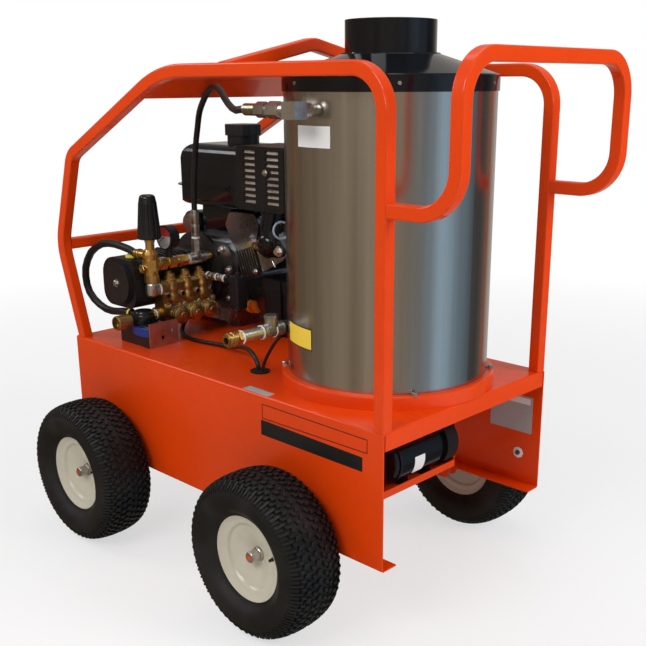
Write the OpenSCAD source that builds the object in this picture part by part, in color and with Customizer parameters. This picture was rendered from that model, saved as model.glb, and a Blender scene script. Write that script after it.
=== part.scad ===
// Portable hot water pressure washer: an engine driven pump and an oil fired
// boiler on a four wheeled sheet steel chassis with a bent tube roll frame.
// X runs from the engine end to the handle end, Y across, Z up. Sizes in mm.

/* [Chassis] */
// Length of the deck
deck_l = 988; // [970:1:1020]
// Width of the deck over the two side panels
deck_w = 522.6; // [518:0.2:540]
// Height of the deck's top face above the floor
deck_top = 447; // [440:1:460]
// Thickness of the chassis sheet
sheet_t = 3; // [2:0.5:4]
// Depth of the lips folded down at the deck's two ends
end_lip = 34; // [20:1:45]
// Height of the side panels
side_h = 270; // [255:1:271]
// Width of the side panels' bottom flanges
flange_w = 40; // [25:1:55]

/* [Wheels] */
// Outside diameter of the tyres
tyre_d = 330; // [320:1:340]
// Width of the tyres
tyre_w = 131.3; // [120:0.1:140]
// Gap between a side panel and its tyres
tyre_gap = 9.1; // [5:0.1:20]
// Diameter over the rim flanges
rim_d = 185; // [178:1:190]
// Width over the rim flanges
rim_w = 93; // [86:1:98]
// Distance from the front end to the front axle
front_axle_x = 148.6; // [140:0.1:170]
// Distance from the front end to the rear axle
rear_axle_x = 749.5; // [720:0.1:780]
// Diameter of the axles
axle_d = 19; // [16:0.5:22]
// Radial running clearance of the hubs on the axles
hub_clearance = 0.05; // [0.02:0.01:0.1]

/* [Roll frame] */
// Side of the square frame tube
tube = 25.4; // [22:0.1:28]
// Outside corner radius of the frame tube
tube_corner = 4; // [3:0.5:5]
// Distance from the front end to the front foot's centre
foot_x = 21.6; // [18:0.1:30]
// Distance that the knees stand out ahead of the deck
knee_out = 46; // [30:1:60]
// Height of the knees above the deck
knee_h = 220; // [200:1:240]
// Height of the shoulders above the deck
shoulder_h = 430; // [400:1:450]
// Distance from the front end to the shoulders
shoulder_x = 29; // [15:1:40]
// Height of the top rails' centre above the top of the boiler's jacket
rail_over_jacket = 38.8; // [34:0.1:60]
// Distance from the front end to where the top rails turn level
slope_end = 387.6; // [370:0.1:400]
// Distance from the front end to the lifting bail
bail_x = 558; // [545:1:570]
// Rise of the lifting bail above the top rails
bail_rise = 52; // [40:1:60]
// Distance that the push handle stands out behind the deck
handle_out = 148; // [140:1:160]
// Height of the handle's legs above the deck
handle_low = 387.3; // [370:0.1:400]
// Height of the handle's grip bar above its legs
handle_rise = 243.2; // [230:0.1:255]

/* [Boiler] */
// Distance from the front end to the boiler's centre
boiler_x = 770.4; // [765:0.1:772]
// Outside diameter of the boiler's jacket
boiler_d = 409; // [400:1:412]
// Height of the jacket
boiler_h = 572.5; // [560:0.5:580]
// Drop of the coil's inlet below the top of the jacket
inlet_drop = 30.8; // [26:0.1:60]
// Thickness of the jacket
jacket_t = 1.5; // [1:0.5:2]
// Width of the base ring outside the jacket
ring_w = 14; // [10:1:16]
// Height of the base ring
ring_h = 28; // [20:1:35]
// Height of the cap's rim band
cap_band = 30.5; // [25:0.5:36]
// Rise of the cap's cone above its rim band
cap_rise = 38; // [30:1:45]
// Outside diameter of the flue collar
flue_d = 174; // [170:1:178]
// Height of the flue collar above the cone
flue_h = 59; // [50:1:66]

/* [Burner] */
// Distance from the front end to the burner pan
pan_x = 640; // [630:1:650]
// Length of the burner pan
pan_l = 240; // [230:1:250]
// Depth of the burner pan below the deck
pan_depth = 200; // [190:1:205]
// Diameter of the burner's motor
burner_motor_d = 100; // [90:1:104]

/* [Engine] */
// Distance from the front end to the crankshaft
crank_x = 125; // [123:0.5:127]
// Height of the crankshaft above the deck
crank_h = 141; // [139:0.5:143]
// Diameter of the crankshaft
shaft_d = 25.4; // [22:0.1:28]
// Lean of the cylinder above level
cylinder_lean = 21; // [19:0.5:23]
// Length of the fuel tank
tank_l = 250; // [240:1:254]
// Width of the fuel tank
tank_w = 192; // [182:1:198]
// Height of the fuel tank
tank_h = 150; // [140:1:152]
// Diameter of the fuel cap
fuel_cap_d = 96; // [84:1:100]
// Diameter of the recoil starter's housing
recoil_d = 200; // [190:1:206]

/* [Pump] */
// Length of the pump's crankcase
pump_l = 200; // [195:1:204]
// Spacing of the pump's three plungers
plunger_pitch = 44; // [42:0.5:46]
// Diameter of the pump's suction caps
suction_cap_d = 36; // [32:1:38]
// Diameter of the gauge
gauge_d = 55; // [50:1:58]
// Diameter of the unloader's stem
stem_d = 31; // [28:0.5:32]
// Height of the unloader's knob
knob_h = 101; // [90:1:104]
// Diameter of the strainer's head
strainer_d = 48; // [44:1:50]

/* [Hoses] */
// Outside diameter of the high pressure hose
pressure_hose_d = 13.5; // [12:0.5:15]
// Outside diameter of the bypass hose
bypass_hose_d = 18; // [16:0.5:19]
// Outside diameter of the engine cable
engine_cable_d = 10; // [8:0.5:11]
// Outside diameter of the sensor cable
sensor_cable_d = 7; // [6:0.5:8]

/* [Hidden] */
$fn = 64;

// places and heights
half_w = deck_w / 2;
deck_under = deck_top - sheet_t;
panel_foot = deck_top - side_h;
axle_z = tyre_d / 2;
wheel_y = half_w + tyre_gap + tyre_w / 2;
rail_y = half_w - tube / 2;
post_x = deck_l - tube / 2;
handle_x = deck_l + handle_out - tube / 2;
handle_z = deck_top + handle_low;
crank_z = deck_top + crank_h;
jacket_top = deck_top + boiler_h;
rail_z = jacket_top + rail_over_jacket;
cap_top = jacket_top + cap_band + cap_rise;
flue_top = cap_top + flue_h;

// bend radii of the frame tubes' centre lines
knee_bend = 110;
shoulder_bend = 50;
slope_bend = 300;
post_bend = 68;
leg_bend = 73;
grip_bend = 70;
bail_bend = 60;

// bent tubes stand this much proud of the straight ones that run into them
weld_step = 0.02;
weld_lap = 0.5;

frame_path = [
  [foot_x, deck_top], [-knee_out, deck_top + knee_h], [shoulder_x, deck_top + shoulder_h],
  [slope_end, rail_z], [post_x, rail_z], [post_x, deck_top]
];
frame_bends = [knee_bend, shoulder_bend, slope_bend, post_bend];

// the origin stands midway between the knees' front and the handle's back
knee_way = unit(frame_path[1] - frame_path[0]);
knee_start = frame_path[1] - knee_way * trim(frame_path, frame_bends, 1);
frame_front = knee_start.x + (knee_way.y - 1) * knee_bend - tube / 2;
origin_x = (frame_front + deck_l + handle_out) / 2;

// ---- outlines and paths ----

function unit(v) = v / norm(v);
function turned(v, a) = [v.x * cos(a) - v.y * sin(a), v.x * sin(a) + v.y * cos(a)];
function box_outline(low, high) = [low, [high.x, low.y], high, [low.x, high.y]];

// arc of radius r in the corner b of the outline a, b, c
function corner_arc(a, b, c, r, steps) =
  let (
    d = unit(b - a), e = unit(c - b), side = sign(cross(d, e)),
    angle = acos(max(-1, min(1, d * e))),
    start = b - d * r * tan(angle / 2),
    spoke = side * r * [d.y, -d.x]
  )
  r == 0 || side == 0 ? [b] :
  [for (k = [0 : steps]) start - spoke + turned(spoke, side * angle * k / steps)];

// outline with its corners rounded, r being one radius or one for each corner
function rounded(p, r, steps = 6) = [
  for (i = [0 : len(p) - 1])
    each corner_arc(p[(i + len(p) - 1) % len(p)], p[i], p[(i + 1) % len(p)],
                    is_num(r) ? r : r[i], steps)
];

// heading of the stretch of a path that starts at point i, and the turn at point i
function heading(p, i) = atan2(p[i + 1].y - p[i].y, p[i + 1].x - p[i].x);
function turn(p, i) =
  let (t = heading(p, i) - heading(p, i - 1)) t > 180 ? t - 360 : t < -180 ? t + 360 : t;
// length that the bend at point i takes from the stretches on each side of it
function trim(p, r, i) =
  i == 0 || i == len(p) - 1 ? 0 : r[i - 1] * tan(abs(turn(p, i)) / 2);

module square_tube(size, corner) {
  flat = size - 2 * corner;
  square([flat, size], center = true);
  square([size, flat], center = true);
  for (x = [-1, 1], y = [-1, 1])
    translate([x, y] * flat / 2) circle(corner);
}

// bar bent in the XY plane along p, with bends of radii r
module bent_bar(p, r, size, corner) {
  last = len(p) - 1;
  for (i = [0 : last - 1]) {
    start = trim(p, r, i) - (i == 0 ? 0 : weld_lap);
    end = trim(p, r, i + 1) - (i == last - 1 ? 0 : weld_lap);
    translate(p[i]) rotate(heading(p, i)) translate([start, 0, 0]) rotate([90, 0, 90])
      linear_extrude(norm(p[i + 1] - p[i]) - start - end)
        bar_section(size - 2 * weld_step, corner);
  }
  for (i = [1 : last - 1]) {
    side = sign(turn(p, i));
    angle = abs(turn(p, i));
    translate(p[i]) rotate(heading(p, i - 1))
      translate([-trim(p, r, i), side * r[i - 1], 0])
        rotate(side > 0 ? -90 : 90 - angle)
          rotate_extrude(angle = angle)
            translate([r[i - 1], 0]) bar_section(size, corner);
  }
}

// square tube where it has a corner radius, round where that is 0
module bar_section(size, corner) {
  if (corner > 0) square_tube(size, corner);
  else circle(d = size);
}

// ---- solids along the axes ----

module from_front_end() translate([-origin_x, 0, 0]) children();
module rod_x(d, x0, x1, at) translate([x0, at.x, at.y]) rotate([0, 90, 0])
  cylinder(d = d, h = x1 - x0);
module rod_y(d, y0, y1, at) translate([at.x, y0, at.y]) rotate([-90, 0, 0])
  cylinder(d = d, h = y1 - y0);
module rod_z(d, z0, z1, at) translate([at.x, at.y, z0]) cylinder(d = d, h = z1 - z0);
// hexagon bars, given across their flats
module hex_x(flats, x0, x1, at) translate([x0, at.x, at.y]) rotate([0, 90, 0])
  cylinder(d = flats / cos(30), h = x1 - x0, $fn = 6);
module hex_y(flats, y0, y1, at) translate([at.x, y0, at.y]) rotate([-90, 0, 0])
  cylinder(d = flats / cos(30), h = y1 - y0, $fn = 6);
module hex_z(flats, z0, z1, at) translate([at.x, at.y, z0])
  cylinder(d = flats / cos(30), h = z1 - z0, $fn = 6);
// outlines in XZ, in YZ and in XY, drawn out along the third axis
module prism_y(p, y0, y1) translate([0, y1, 0]) rotate([90, 0, 0])
  linear_extrude(y1 - y0) polygon(p);
module prism_x(p, x0, x1) translate([x0, 0, 0]) rotate([90, 0, 90])
  linear_extrude(x1 - x0) polygon(p);
module prism_z(p, z0, z1) translate([0, 0, z0]) linear_extrude(z1 - z0) polygon(p);
module block(low, high) translate(low) cube(high - low);
// solid turned about the Y axis from an outline of [radius, y]
module turned_y(at) translate([at.x, 0, at.y]) rotate([-90, 0, 0]) rotate_extrude() children();

// ---- chassis ----

fold_r = 5;
fold_lap = fold_r + 1;
lip_foot = deck_top - end_lip;
grommet = [551, -157];
grommet_d = 34;
blast_tube_d = 102;
filler = [535, 205];
filler_d = 52;

module deck_plate() color("orangered") from_front_end() {
  inner = half_w - fold_lap;
  difference() {
    prism_y(rounded([
      [0, lip_foot], [sheet_t, lip_foot], [sheet_t, deck_under],
      [deck_l - sheet_t, deck_under], [deck_l - sheet_t, lip_foot], [deck_l, lip_foot],
      [deck_l, deck_top], [0, deck_top]
    ], [0, 0, fold_r - sheet_t, fold_r - sheet_t, 0, 0, fold_r, fold_r]), -inner, inner);
    rod_z(grommet_d, deck_under - 1, deck_top + 1, grommet);
    rod_z(blast_tube_d + 4, deck_under - 1, deck_top + 1, [boiler_x, 0]);
    rod_z(filler_d, deck_under - 1, deck_top + 1, filler);
  }
}

bracket_l = 60;
bracket_wall = 5;
bracket_out = half_w - fold_r - 1;

module side_panel(side) color("orangered") from_front_end() mirror([0, side < 0 ? 1 : 0, 0]) {
  prism_x(rounded([
    [half_w - fold_lap, deck_top], [half_w - fold_lap, deck_under],
    [half_w - sheet_t, deck_under], [half_w - sheet_t, panel_foot + sheet_t],
    [half_w - flange_w, panel_foot + sheet_t], [half_w - flange_w, panel_foot],
    [half_w, panel_foot], [half_w, deck_top]
  ], [0, 0, fold_r - sheet_t, fold_r - sheet_t, 0, 0, fold_r, fold_r]), 0, deck_l);
  for (x = [front_axle_x, rear_axle_x])
    difference() {
      for (y = [half_w - flange_w + 1, bracket_out - bracket_wall])
        prism_y(rounded([
          [x - bracket_l / 2, panel_foot + 1], [x - axle_d, axle_z - axle_d],
          [x + axle_d, axle_z - axle_d], [x + bracket_l / 2, panel_foot + 1]
        ], [0, 8, 8, 0]), y, y + bracket_wall);
      rod_y(axle_d, 0, half_w + 1, [x, axle_z]);
    }
}
module side_panel_left() side_panel(1);
module side_panel_right() side_panel(-1);

// ---- wheels ----

hub_d = 27;
hub_out = 18;
hub_in = 46;
side_play = 0.3;
axle_stub = 38;
axle_cap_d = 23;
spacer_d = 23;
rim_sheet = 2.5;
bead_r = 76.2;
tyre_wall = 8;
valve_d = 9;
valve_r = 68;
valve_angle = 17;

module wheel_place(x, side) from_front_end()
  translate([x, side * wheel_y, axle_z]) mirror([0, side < 0 ? 1 : 0, 0]) children();

// two axles with a spacer inside and a cap outside each wheel
module axles() color("orangered") from_front_end()
  for (x = [front_axle_x, rear_axle_x], side = [0, 1]) mirror([0, side, 0]) {
    rod_y(axle_d, 0, wheel_y + axle_stub - 2, [x, axle_z]);
    rod_y(spacer_d, bracket_out, wheel_y - hub_in - side_play, [x, axle_z]);
    turned_y([x, axle_z]) polygon(rounded([
      [0, wheel_y + hub_out + side_play], [axle_cap_d / 2, wheel_y + hub_out + side_play],
      [axle_cap_d / 2, wheel_y + axle_stub], [0, wheel_y + axle_stub]
    ], [0, 0, 4, 0]));
  }

// pressed steel wheel: two dished discs on a barrel, with a hub tube through them
rim_edge = rim_w / 2;
rim_r = rim_d / 2;
rim_dish = [
  [rim_r, rim_edge], [rim_r - 6, rim_edge - 1.5], [bead_r + 2, rim_edge - 9],
  [bead_r - 8, rim_edge - 12], [bead_r - 13, rim_edge - 17], [hub_d / 2, 12]
];
// back of the flange, from the bead seat out, and the hollow between the discs
rim_back = [
  [bead_r, rim_edge - 10 - rim_sheet], rim_dish[2] - [0, rim_sheet],
  rim_dish[1] - [0, rim_sheet], rim_dish[0] - [0, rim_sheet - 1]
];
rim_hollow = concat([for (i = [5 : -1 : 3]) rim_dish[i] - [0, rim_sheet]],
                    [[bead_r - rim_sheet, rim_edge - 10.4 - rim_sheet]]);

module rim(x, side) color("ivory") wheel_place(x, side) {
  bore_r = axle_d / 2 + hub_clearance;
  difference() {
    rotate([-90, 0, 0]) rotate_extrude() difference() {
      polygon(concat(rim_dish, [
        [hub_d / 2, hub_out], [bore_r, hub_out], [bore_r, -hub_in], [hub_d / 2, -hub_in]
      ], mirrored(rim_dish), mirrored(rim_back), rim_back));
      polygon(concat(rim_hollow, mirrored(rim_hollow)));
    }
    rotate([0, -valve_angle, 0]) rod_y(valve_d + 0.2, 0, rim_edge, [valve_r, 0]);
  }
}
module rim_front_left() rim(front_axle_x, 1);
module rim_front_right() rim(front_axle_x, -1);
module rim_rear_left() rim(rear_axle_x, 1);
module rim_rear_right() rim(rear_axle_x, -1);

// half section of the tyre's outside, from the bead to the crown
tread_depth = 4;
tyre_r = tyre_d / 2;
tyre_half = tyre_w / 2;
bead_gap = 0.3;
side_outer = [
  [bead_r + bead_gap, rim_edge - 22], [bead_r + bead_gap, rim_edge - 10 - rim_sheet],
  [bead_r + 2, rim_edge - 9 - rim_sheet - bead_gap],
  [rim_r - 6, rim_edge - 1.5 - rim_sheet - bead_gap],
  [rim_r + bead_gap, rim_edge + 1 - rim_sheet - bead_gap], [rim_r + 2, rim_edge + 2],
  [rim_r + 14, tyre_half - 5], [tyre_r - 40, tyre_half],
  [tyre_r - 24, tyre_half - 3], [tyre_r - 10, tyre_half - 10], [tyre_r - 5, tyre_half - 20]
];
side_inner = [
  [bead_r + 6, rim_edge - 22], [rim_r - 2, rim_edge - 10], [rim_r + 14, tyre_half - 14],
  [tyre_r - 40, tyre_half - tyre_wall], [tyre_r - 24, tyre_half - tyre_wall - 3],
  [tyre_r - 15, tyre_half - 24]
];
groove_w = 5;
grooves = [8, 27];
tread_half = [
  [tyre_r - 2, 27 + groove_w], [tyre_r - 2 - tread_depth, 27 + groove_w],
  [tyre_r - 1 - tread_depth, 27], [tyre_r - 1, 27],
  [tyre_r, 8 + groove_w], [tyre_r - tread_depth, 8 + groove_w],
  [tyre_r - tread_depth, 8], [tyre_r, 8]
];
function mirrored(p) = [for (i = [len(p) - 1 : -1 : 0]) [p[i].x, -p[i].y]];

module tyre(x, side) color([0.12, 0.12, 0.12]) wheel_place(x, side) {
  rotate([-90, 0, 0]) rotate_extrude(convexity = 6)
    polygon(concat(side_outer, tread_half, mirrored(tread_half), mirrored(side_outer),
                   [for (i = [0 : len(side_inner) - 1]) [side_inner[i].x, -side_inner[i].y]],
                   [for (i = [len(side_inner) - 1 : -1 : 0]) side_inner[i]]));
  // the tube's valve, which stands out through the disc
  rotate([0, -valve_angle, 0]) rod_y(valve_d, 20, rim_edge - 4, [valve_r, 0]);
}
module tyre_front_left() tyre(front_axle_x, 1);
module tyre_front_right() tyre(front_axle_x, -1);
module tyre_rear_left() tyre(rear_axle_x, 1);
module tyre_rear_right() tyre(rear_axle_x, -1);

// ---- roll frame ----

// each frame's leaning front foot is cut off level with the deck
module roll_frame(side) color("orangered") from_front_end()
  translate([0, side * rail_y, 0]) rotate([90, 0, 0]) difference() {
    bent_bar(concat([frame_path[0] - knee_way * tube / 2],
                    [for (i = [1 : len(frame_path) - 1]) frame_path[i]]),
             frame_bends, tube, tube_corner);
    translate([foot_x - 2 * tube, deck_top - 2 * tube, -tube]) cube([4 * tube, 2 * tube, 2 * tube]);
  }
module roll_frame_left() roll_frame(1);
module roll_frame_right() roll_frame(-1);

rail_inside = rail_y - tube / 2;

// bar between the knees, where they stand out furthest
module front_crossbar() color("orangered") from_front_end()
  translate([frame_front + tube / 2, rail_inside, knee_start.y - knee_way.x * knee_bend])
    rotate([90, 0, 0]) linear_extrude(2 * rail_inside) square_tube(tube, tube_corner);

bail_foot = 2;
module lifting_bail() color("orangered") from_front_end() {
  slope = (bail_rise - bail_foot) / rail_inside;
  past = tube / 2;
  foot = [rail_inside + past, rail_z + bail_foot - slope * past];
  intersection() {
    translate([bail_x, 0, 0]) rotate([90, 0, 90])
      bent_bar([[-foot.x, foot.y], [0, rail_z + bail_rise], foot], [bail_bend], tube, tube_corner);
    block([bail_x - tube, -rail_inside, rail_z - tube],
          [bail_x + tube, rail_inside, rail_z + bail_rise + tube]);
  }
}

module push_handle() color("orangered") from_front_end() {
  meet_z = handle_z + leg_bend + tube;
  for (side = [-1, 1])
    translate([0, side * rail_y, 0]) rotate([90, 0, 0])
      bent_bar([[deck_l - weld_step, handle_z], [handle_x, handle_z], [handle_x, meet_z]],
               [leg_bend], tube, tube_corner);
  // the hoop is a hair thinner than the legs that it is welded into
  translate([handle_x, 0, 0]) rotate([90, 0, 90])
    bent_bar([[-rail_y, meet_z - weld_lap], [-rail_y, handle_z + handle_rise],
              [rail_y, handle_z + handle_rise], [rail_y, meet_z - weld_lap]],
             [grip_bend, grip_bend], tube - 2 * weld_step, tube_corner);
}

// folded sheet between the sloping rails, under their bend
panel_start = 305;
panel_end = 430;
panel_t = 2.5;
module top_panel() color("orangered") from_front_end() {
  slope = (rail_z - deck_top - shoulder_h) / (slope_end - shoulder_x);
  start_z = rail_z - (slope_end - panel_start) * slope - tube / 2;
  level_z = rail_z - tube / 2 + 1;
  fold_x = panel_start + (level_z - start_z) / slope - 12;
  fold_z = level_z - 6;
  prism_y([
    [panel_start, start_z], [fold_x, fold_z], [panel_end, level_z],
    [panel_end, level_z + panel_t], [fold_x, fold_z + panel_t],
    [panel_start + panel_t, start_z + panel_t + 1], [panel_start + panel_t, start_z + 12],
    [panel_start, start_z + 12]
  ], -rail_inside, rail_inside);
}

// ---- boiler ----

boiler_r = boiler_d / 2;
cap_lap = 10;
cap_t = 2;
floor_t = 3;
coil_inlet_z = jacket_top - inlet_drop;
coil_inlet_d = 19;
outlet_at = [620, 556];
outlet_pipe_d = 26;

module boiler_ring() color("orangered") from_front_end() translate([boiler_x, 0, deck_top])
  rotate_extrude() polygon(rounded([
    [boiler_r, 0], [boiler_r + ring_w, 0], [boiler_r + ring_w, ring_h], [boiler_r, ring_h]
  ], [0, 0, 5, 0]));

module boiler_jacket() color("lightgray") from_front_end() difference() {
  translate([boiler_x, 0, deck_top]) rotate_extrude() {
    translate([boiler_r - jacket_t, 0]) square([jacket_t, boiler_h + cap_lap]);
    translate([blast_tube_d / 2 + 1, 0]) square([boiler_r - blast_tube_d / 2 - 1.5, floor_t]);
  }
  rod_y(coil_inlet_d, -boiler_r - 1, 0, [boiler_x, coil_inlet_z]);
  rod_y(outlet_pipe_d, -boiler_r, 0, outlet_at);
}

// painted cap: rim band, cone and open flue collar with its foot flange
cap_top_r = 95;
module boiler_cap() color([0.08, 0.08, 0.08]) from_front_end()
  translate([boiler_x, 0, jacket_top]) rotate_extrude(convexity = 4) polygon([
    [boiler_r, 0], [boiler_r + 3, 0], [boiler_r + 3, cap_band - 2], [boiler_r + 1.5, cap_band],
    [cap_top_r, cap_band + cap_rise - 2], [cap_top_r - 1, cap_band + cap_rise],
    [flue_d / 2, cap_band + cap_rise], [flue_d / 2, cap_band + cap_rise + flue_h],
    [flue_d / 2 - cap_t, cap_band + cap_rise + flue_h],
    [flue_d / 2 - cap_t, cap_band + cap_rise - 4], [boiler_r - 1, cap_band - 4],
    [boiler_r - 1, cap_lap], [boiler_r, cap_lap]
  ]);

// tight coil of pipe round the fire, under a plate that turns the gases outwards
coil_pipe_d = 21.3;
coil_r = 165;
coil_turns = 24;
coil_foot = 40;
plate_t = 4;
module heating_coil() color("dimgray") from_front_end()
  translate([boiler_x, 0, deck_top + floor_t]) {
    pitch = coil_pipe_d - 0.6;
    plate_z = coil_foot + (coil_turns - 1) * pitch + coil_pipe_d / 2 - 1;
    rotate_extrude() {
      for (i = [0 : coil_turns - 1])
        translate([coil_r, coil_foot + i * pitch]) circle(d = coil_pipe_d);
      translate([coil_r - 3, 0]) square([6, coil_foot]);
    }
    rotate_extrude() translate([blast_tube_d / 2 + 1, 0])
      square([coil_r + 8 - blast_tube_d / 2 - 1, 2]);
    translate([0, 0, plate_z]) cylinder(r = coil_r + 4, h = plate_t);
  }

// steel fittings that carry the hose into the top of the coil
inlet_elbow = 34;
inlet_out = 255;
inlet_hex = 27;
ferrule_d = 22;
module coil_inlet() color("silver") from_front_end() {
  at = [-inlet_out, coil_inlet_z];
  rod_y(coil_inlet_d, -inlet_out, -coil_r - coil_pipe_d / 2, [boiler_x, coil_inlet_z]);
  rod_y(coil_inlet_d + 6, -inlet_out + 8, -boiler_r - 13, [boiler_x, coil_inlet_z]);
  block([boiler_x - inlet_elbow / 2, -inlet_out - 15, coil_inlet_z - 15],
        [boiler_x + inlet_elbow / 2, -inlet_out + 15, coil_inlet_z + 15]);
  rod_x(inlet_hex - 3, boiler_x - 34, boiler_x, at);
  hex_x(inlet_hex, boiler_x - 62, boiler_x - 34, at);
  rod_x(inlet_hex - 5, boiler_x - 70, boiler_x - 62, at);
  hex_x(inlet_hex - 2, boiler_x - 94, boiler_x - 70, at);
  rod_x(ferrule_d, inlet_hose_end.x, boiler_x - 94, at);
}

// hot water outlet: sleeve, tee with a plugged branch, coupling
tee_d = 30;
outlet_tee_end = -267;
module outlet_tee() color("silver") from_front_end() {
  rod_y(outlet_pipe_d, -178, -110, outlet_at);
  rod_y(tee_d, -209, -155, outlet_at);
  rod_z(tee_d - 2, outlet_at.y, outlet_at.y + 26, [outlet_at.x, -184]);
  hex_z(tee_d - 4, outlet_at.y + 26, outlet_at.y + 32, [outlet_at.x, -184]);
  rod_y(outlet_pipe_d - 4, -215, -209, outlet_at);
  rod_y(outlet_pipe_d, outlet_tee_end, -215, outlet_at);
}

// quick coupler: hexagon, body and the sleeve that slides back on it
coupler_body_d = 22;
sleeve_d = 29;
sleeve_travel = 5;
coupler_end = -303;
module outlet_coupler() color("goldenrod") from_front_end() difference() {
  union() {
    hex_y(outlet_pipe_d, outlet_tee_end - 10, outlet_tee_end, outlet_at);
    rod_y(coupler_body_d, coupler_end, outlet_tee_end - 10, outlet_at);
  }
  rod_y(14, coupler_end - 1, outlet_tee_end - 12, outlet_at);
}
module coupler_sleeve() color("goldenrod") from_front_end() difference() {
  turned_y(outlet_at) polygon([
    [0, coupler_end + 2], [sleeve_d / 2 - 1.5, coupler_end + 2], [sleeve_d / 2, coupler_end + 4],
    [sleeve_d / 2, coupler_end + 9], [sleeve_d / 2 - 1.5, coupler_end + 10],
    [sleeve_d / 2 - 1.5, coupler_end + 12], [sleeve_d / 2, coupler_end + 13],
    [sleeve_d / 2, outlet_tee_end - 17], [0, outlet_tee_end - 17]
  ]);
  rod_y(coupler_body_d + 0.1, coupler_end, outlet_tee_end, outlet_at);
}

// ---- burner ----

pan_near = -155;
pan_far = 98;
pan_t = 2;
pan_lip = 15;
burner_motor_at = [838, 305];
pan_z = deck_top - pan_depth;

module burner_pan() color("orangered") from_front_end() difference() {
  block([pan_x, pan_near, pan_z], [pan_x + pan_l, pan_far, deck_under]);
  block([pan_x + pan_t, pan_near + pan_t, pan_z + pan_t],
        [pan_x + pan_l - pan_t, pan_far - pan_t, deck_top]);
  block([pan_x + pan_l - pan_t - 1, pan_near + pan_t, pan_z + pan_lip],
        [pan_x + pan_l + 1, pan_far - pan_t, deck_top]);
}

// fan case with its scroll, the duct that rises from it and the blast tube
module burner_housing() color([0.2, 0.2, 0.22]) from_front_end() {
  duct_half = blast_tube_d / 2 - 1;
  low = pan_z + pan_t;
  r = burner_motor_at.y - low - 2;
  difference() {
    union() {
      rod_y(2 * r, 58, pan_far - pan_t - 2, burner_motor_at);
      prism_y(rounded([
        [burner_motor_at.x, low + 2], [boiler_x - duct_half, low + 2],
        [boiler_x - duct_half, deck_under - 26], [boiler_x + duct_half, deck_under - 26],
        [burner_motor_at.x + r, burner_motor_at.y]
      ], [0, 30, 0, 0, 0]), 58, pan_far - pan_t - 2);
      prism_y(rounded([
        [boiler_x - duct_half, low + 2], [boiler_x + duct_half - 40, low + 2],
        [boiler_x + duct_half - 40, deck_under - 90], [boiler_x + duct_half, deck_under - 50],
        [boiler_x + duct_half, deck_under - 26], [boiler_x - duct_half, deck_under - 26]
      ], [20, 12, 0, 0, 0, 0]), -duct_half, pan_far - pan_t - 2);
      rod_z(blast_tube_d + 30, deck_under - 26, deck_under, [boiler_x, 0]);
      rod_z(blast_tube_d, deck_under - 26, deck_top + 40, [boiler_x, 0]);
    }
    rod_z(blast_tube_d - 6, deck_under - 20, deck_top + 41, [boiler_x, 0]);
  }
}

module burner_motor() color([0.08, 0.08, 0.08]) from_front_end() {
  turned_y(burner_motor_at) polygon(rounded([
    [0, -100], [burner_motor_d / 2 - 4, -100], [burner_motor_d / 2 - 4, -88],
    [burner_motor_d / 2, -88], [burner_motor_d / 2, 46], [burner_motor_d / 2 - 5, 46],
    [burner_motor_d / 2 - 5, 58], [0, 58]
  ], [0, 8, 0, 3, 3, 0, 0, 0]));
  for (y = [-60, 14])
    block([burner_motor_at.x - 30, y, pan_z + pan_t],
          [burner_motor_at.x + 30, y + 16, burner_motor_at.y - 30]);
}

// tank hung under the front of the deck, with its filler neck up through it
tank_low = 250;
tank_front = 60;
tank_back = 575;
tank_side = 215;
neck_h = 24;
filler_cap_d = 62;
module burner_fuel_tank() color([0.85, 0.85, 0.8]) from_front_end() {
  difference() {
    union() {
      prism_z(rounded([
        [tank_front, -tank_side], [tank_back, -tank_side],
        [tank_back, tank_side + 14], [tank_front, tank_side + 14]
      ], 30), tank_low, deck_under - 14);
      rod_z(filler_d - 1, deck_under - 14, deck_top + neck_h, filler);
    }
    rod_z(filler_d - 9, tank_low + 20, deck_top + neck_h + 1, filler);
  }
  // straps that hold it up to the deck
  for (x = [tank_front + 90, tank_back - 150])
    difference() {
      block([x, -tank_side - 3, tank_low - 2], [x + 30, tank_side + 17, deck_under]);
      block([x - 1, -tank_side, tank_low], [x + 31, tank_side + 14, deck_under + 1]);
    }
}

lobe_count = 6;
module lobed_cap(d, skirt_d, h, bore, depth) difference() {
  union() {
    cylinder(d = skirt_d, h = h - 1);
    translate([0, 0, h * 0.45]) linear_extrude(h * 0.55) {
      circle(d = d - 8);
      for (i = [0 : lobe_count - 1]) rotate((i + 0.3) * 360 / lobe_count)
        translate([d * 0.34, 0]) circle(d = d * 0.32);
    }
  }
  translate([0, 0, -1]) cylinder(d = bore, h = depth + 1);
}
cap_clearance = 0.3;
module filler_cap() color([0.08, 0.08, 0.08]) from_front_end()
  translate([filler.x, filler.y, deck_top + cap_clearance])
    lobed_cap(filler_cap_d, filler_d + 6, neck_h + 14, filler_d - 1 + 2 * cap_clearance, neck_h);

// ---- battery in its box ----

battery_low = [312, 70];
battery_high = [440, 232];
battery_mid = 553;
battery_top = 584;
module battery() color([0.1, 0.1, 0.1]) from_front_end() {
  prism_z(rounded(box_outline(battery_low, battery_high), 8), deck_top, battery_mid);
  prism_z(rounded(box_outline(battery_low - [4, 4], battery_high + [4, 3]), 10),
          battery_mid, battery_top);
  for (y = [battery_low.y - 10, battery_high.y + 2])
    block([368, y, deck_top], [384, y + 8, battery_top]);
}

// ---- engine ----

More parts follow.
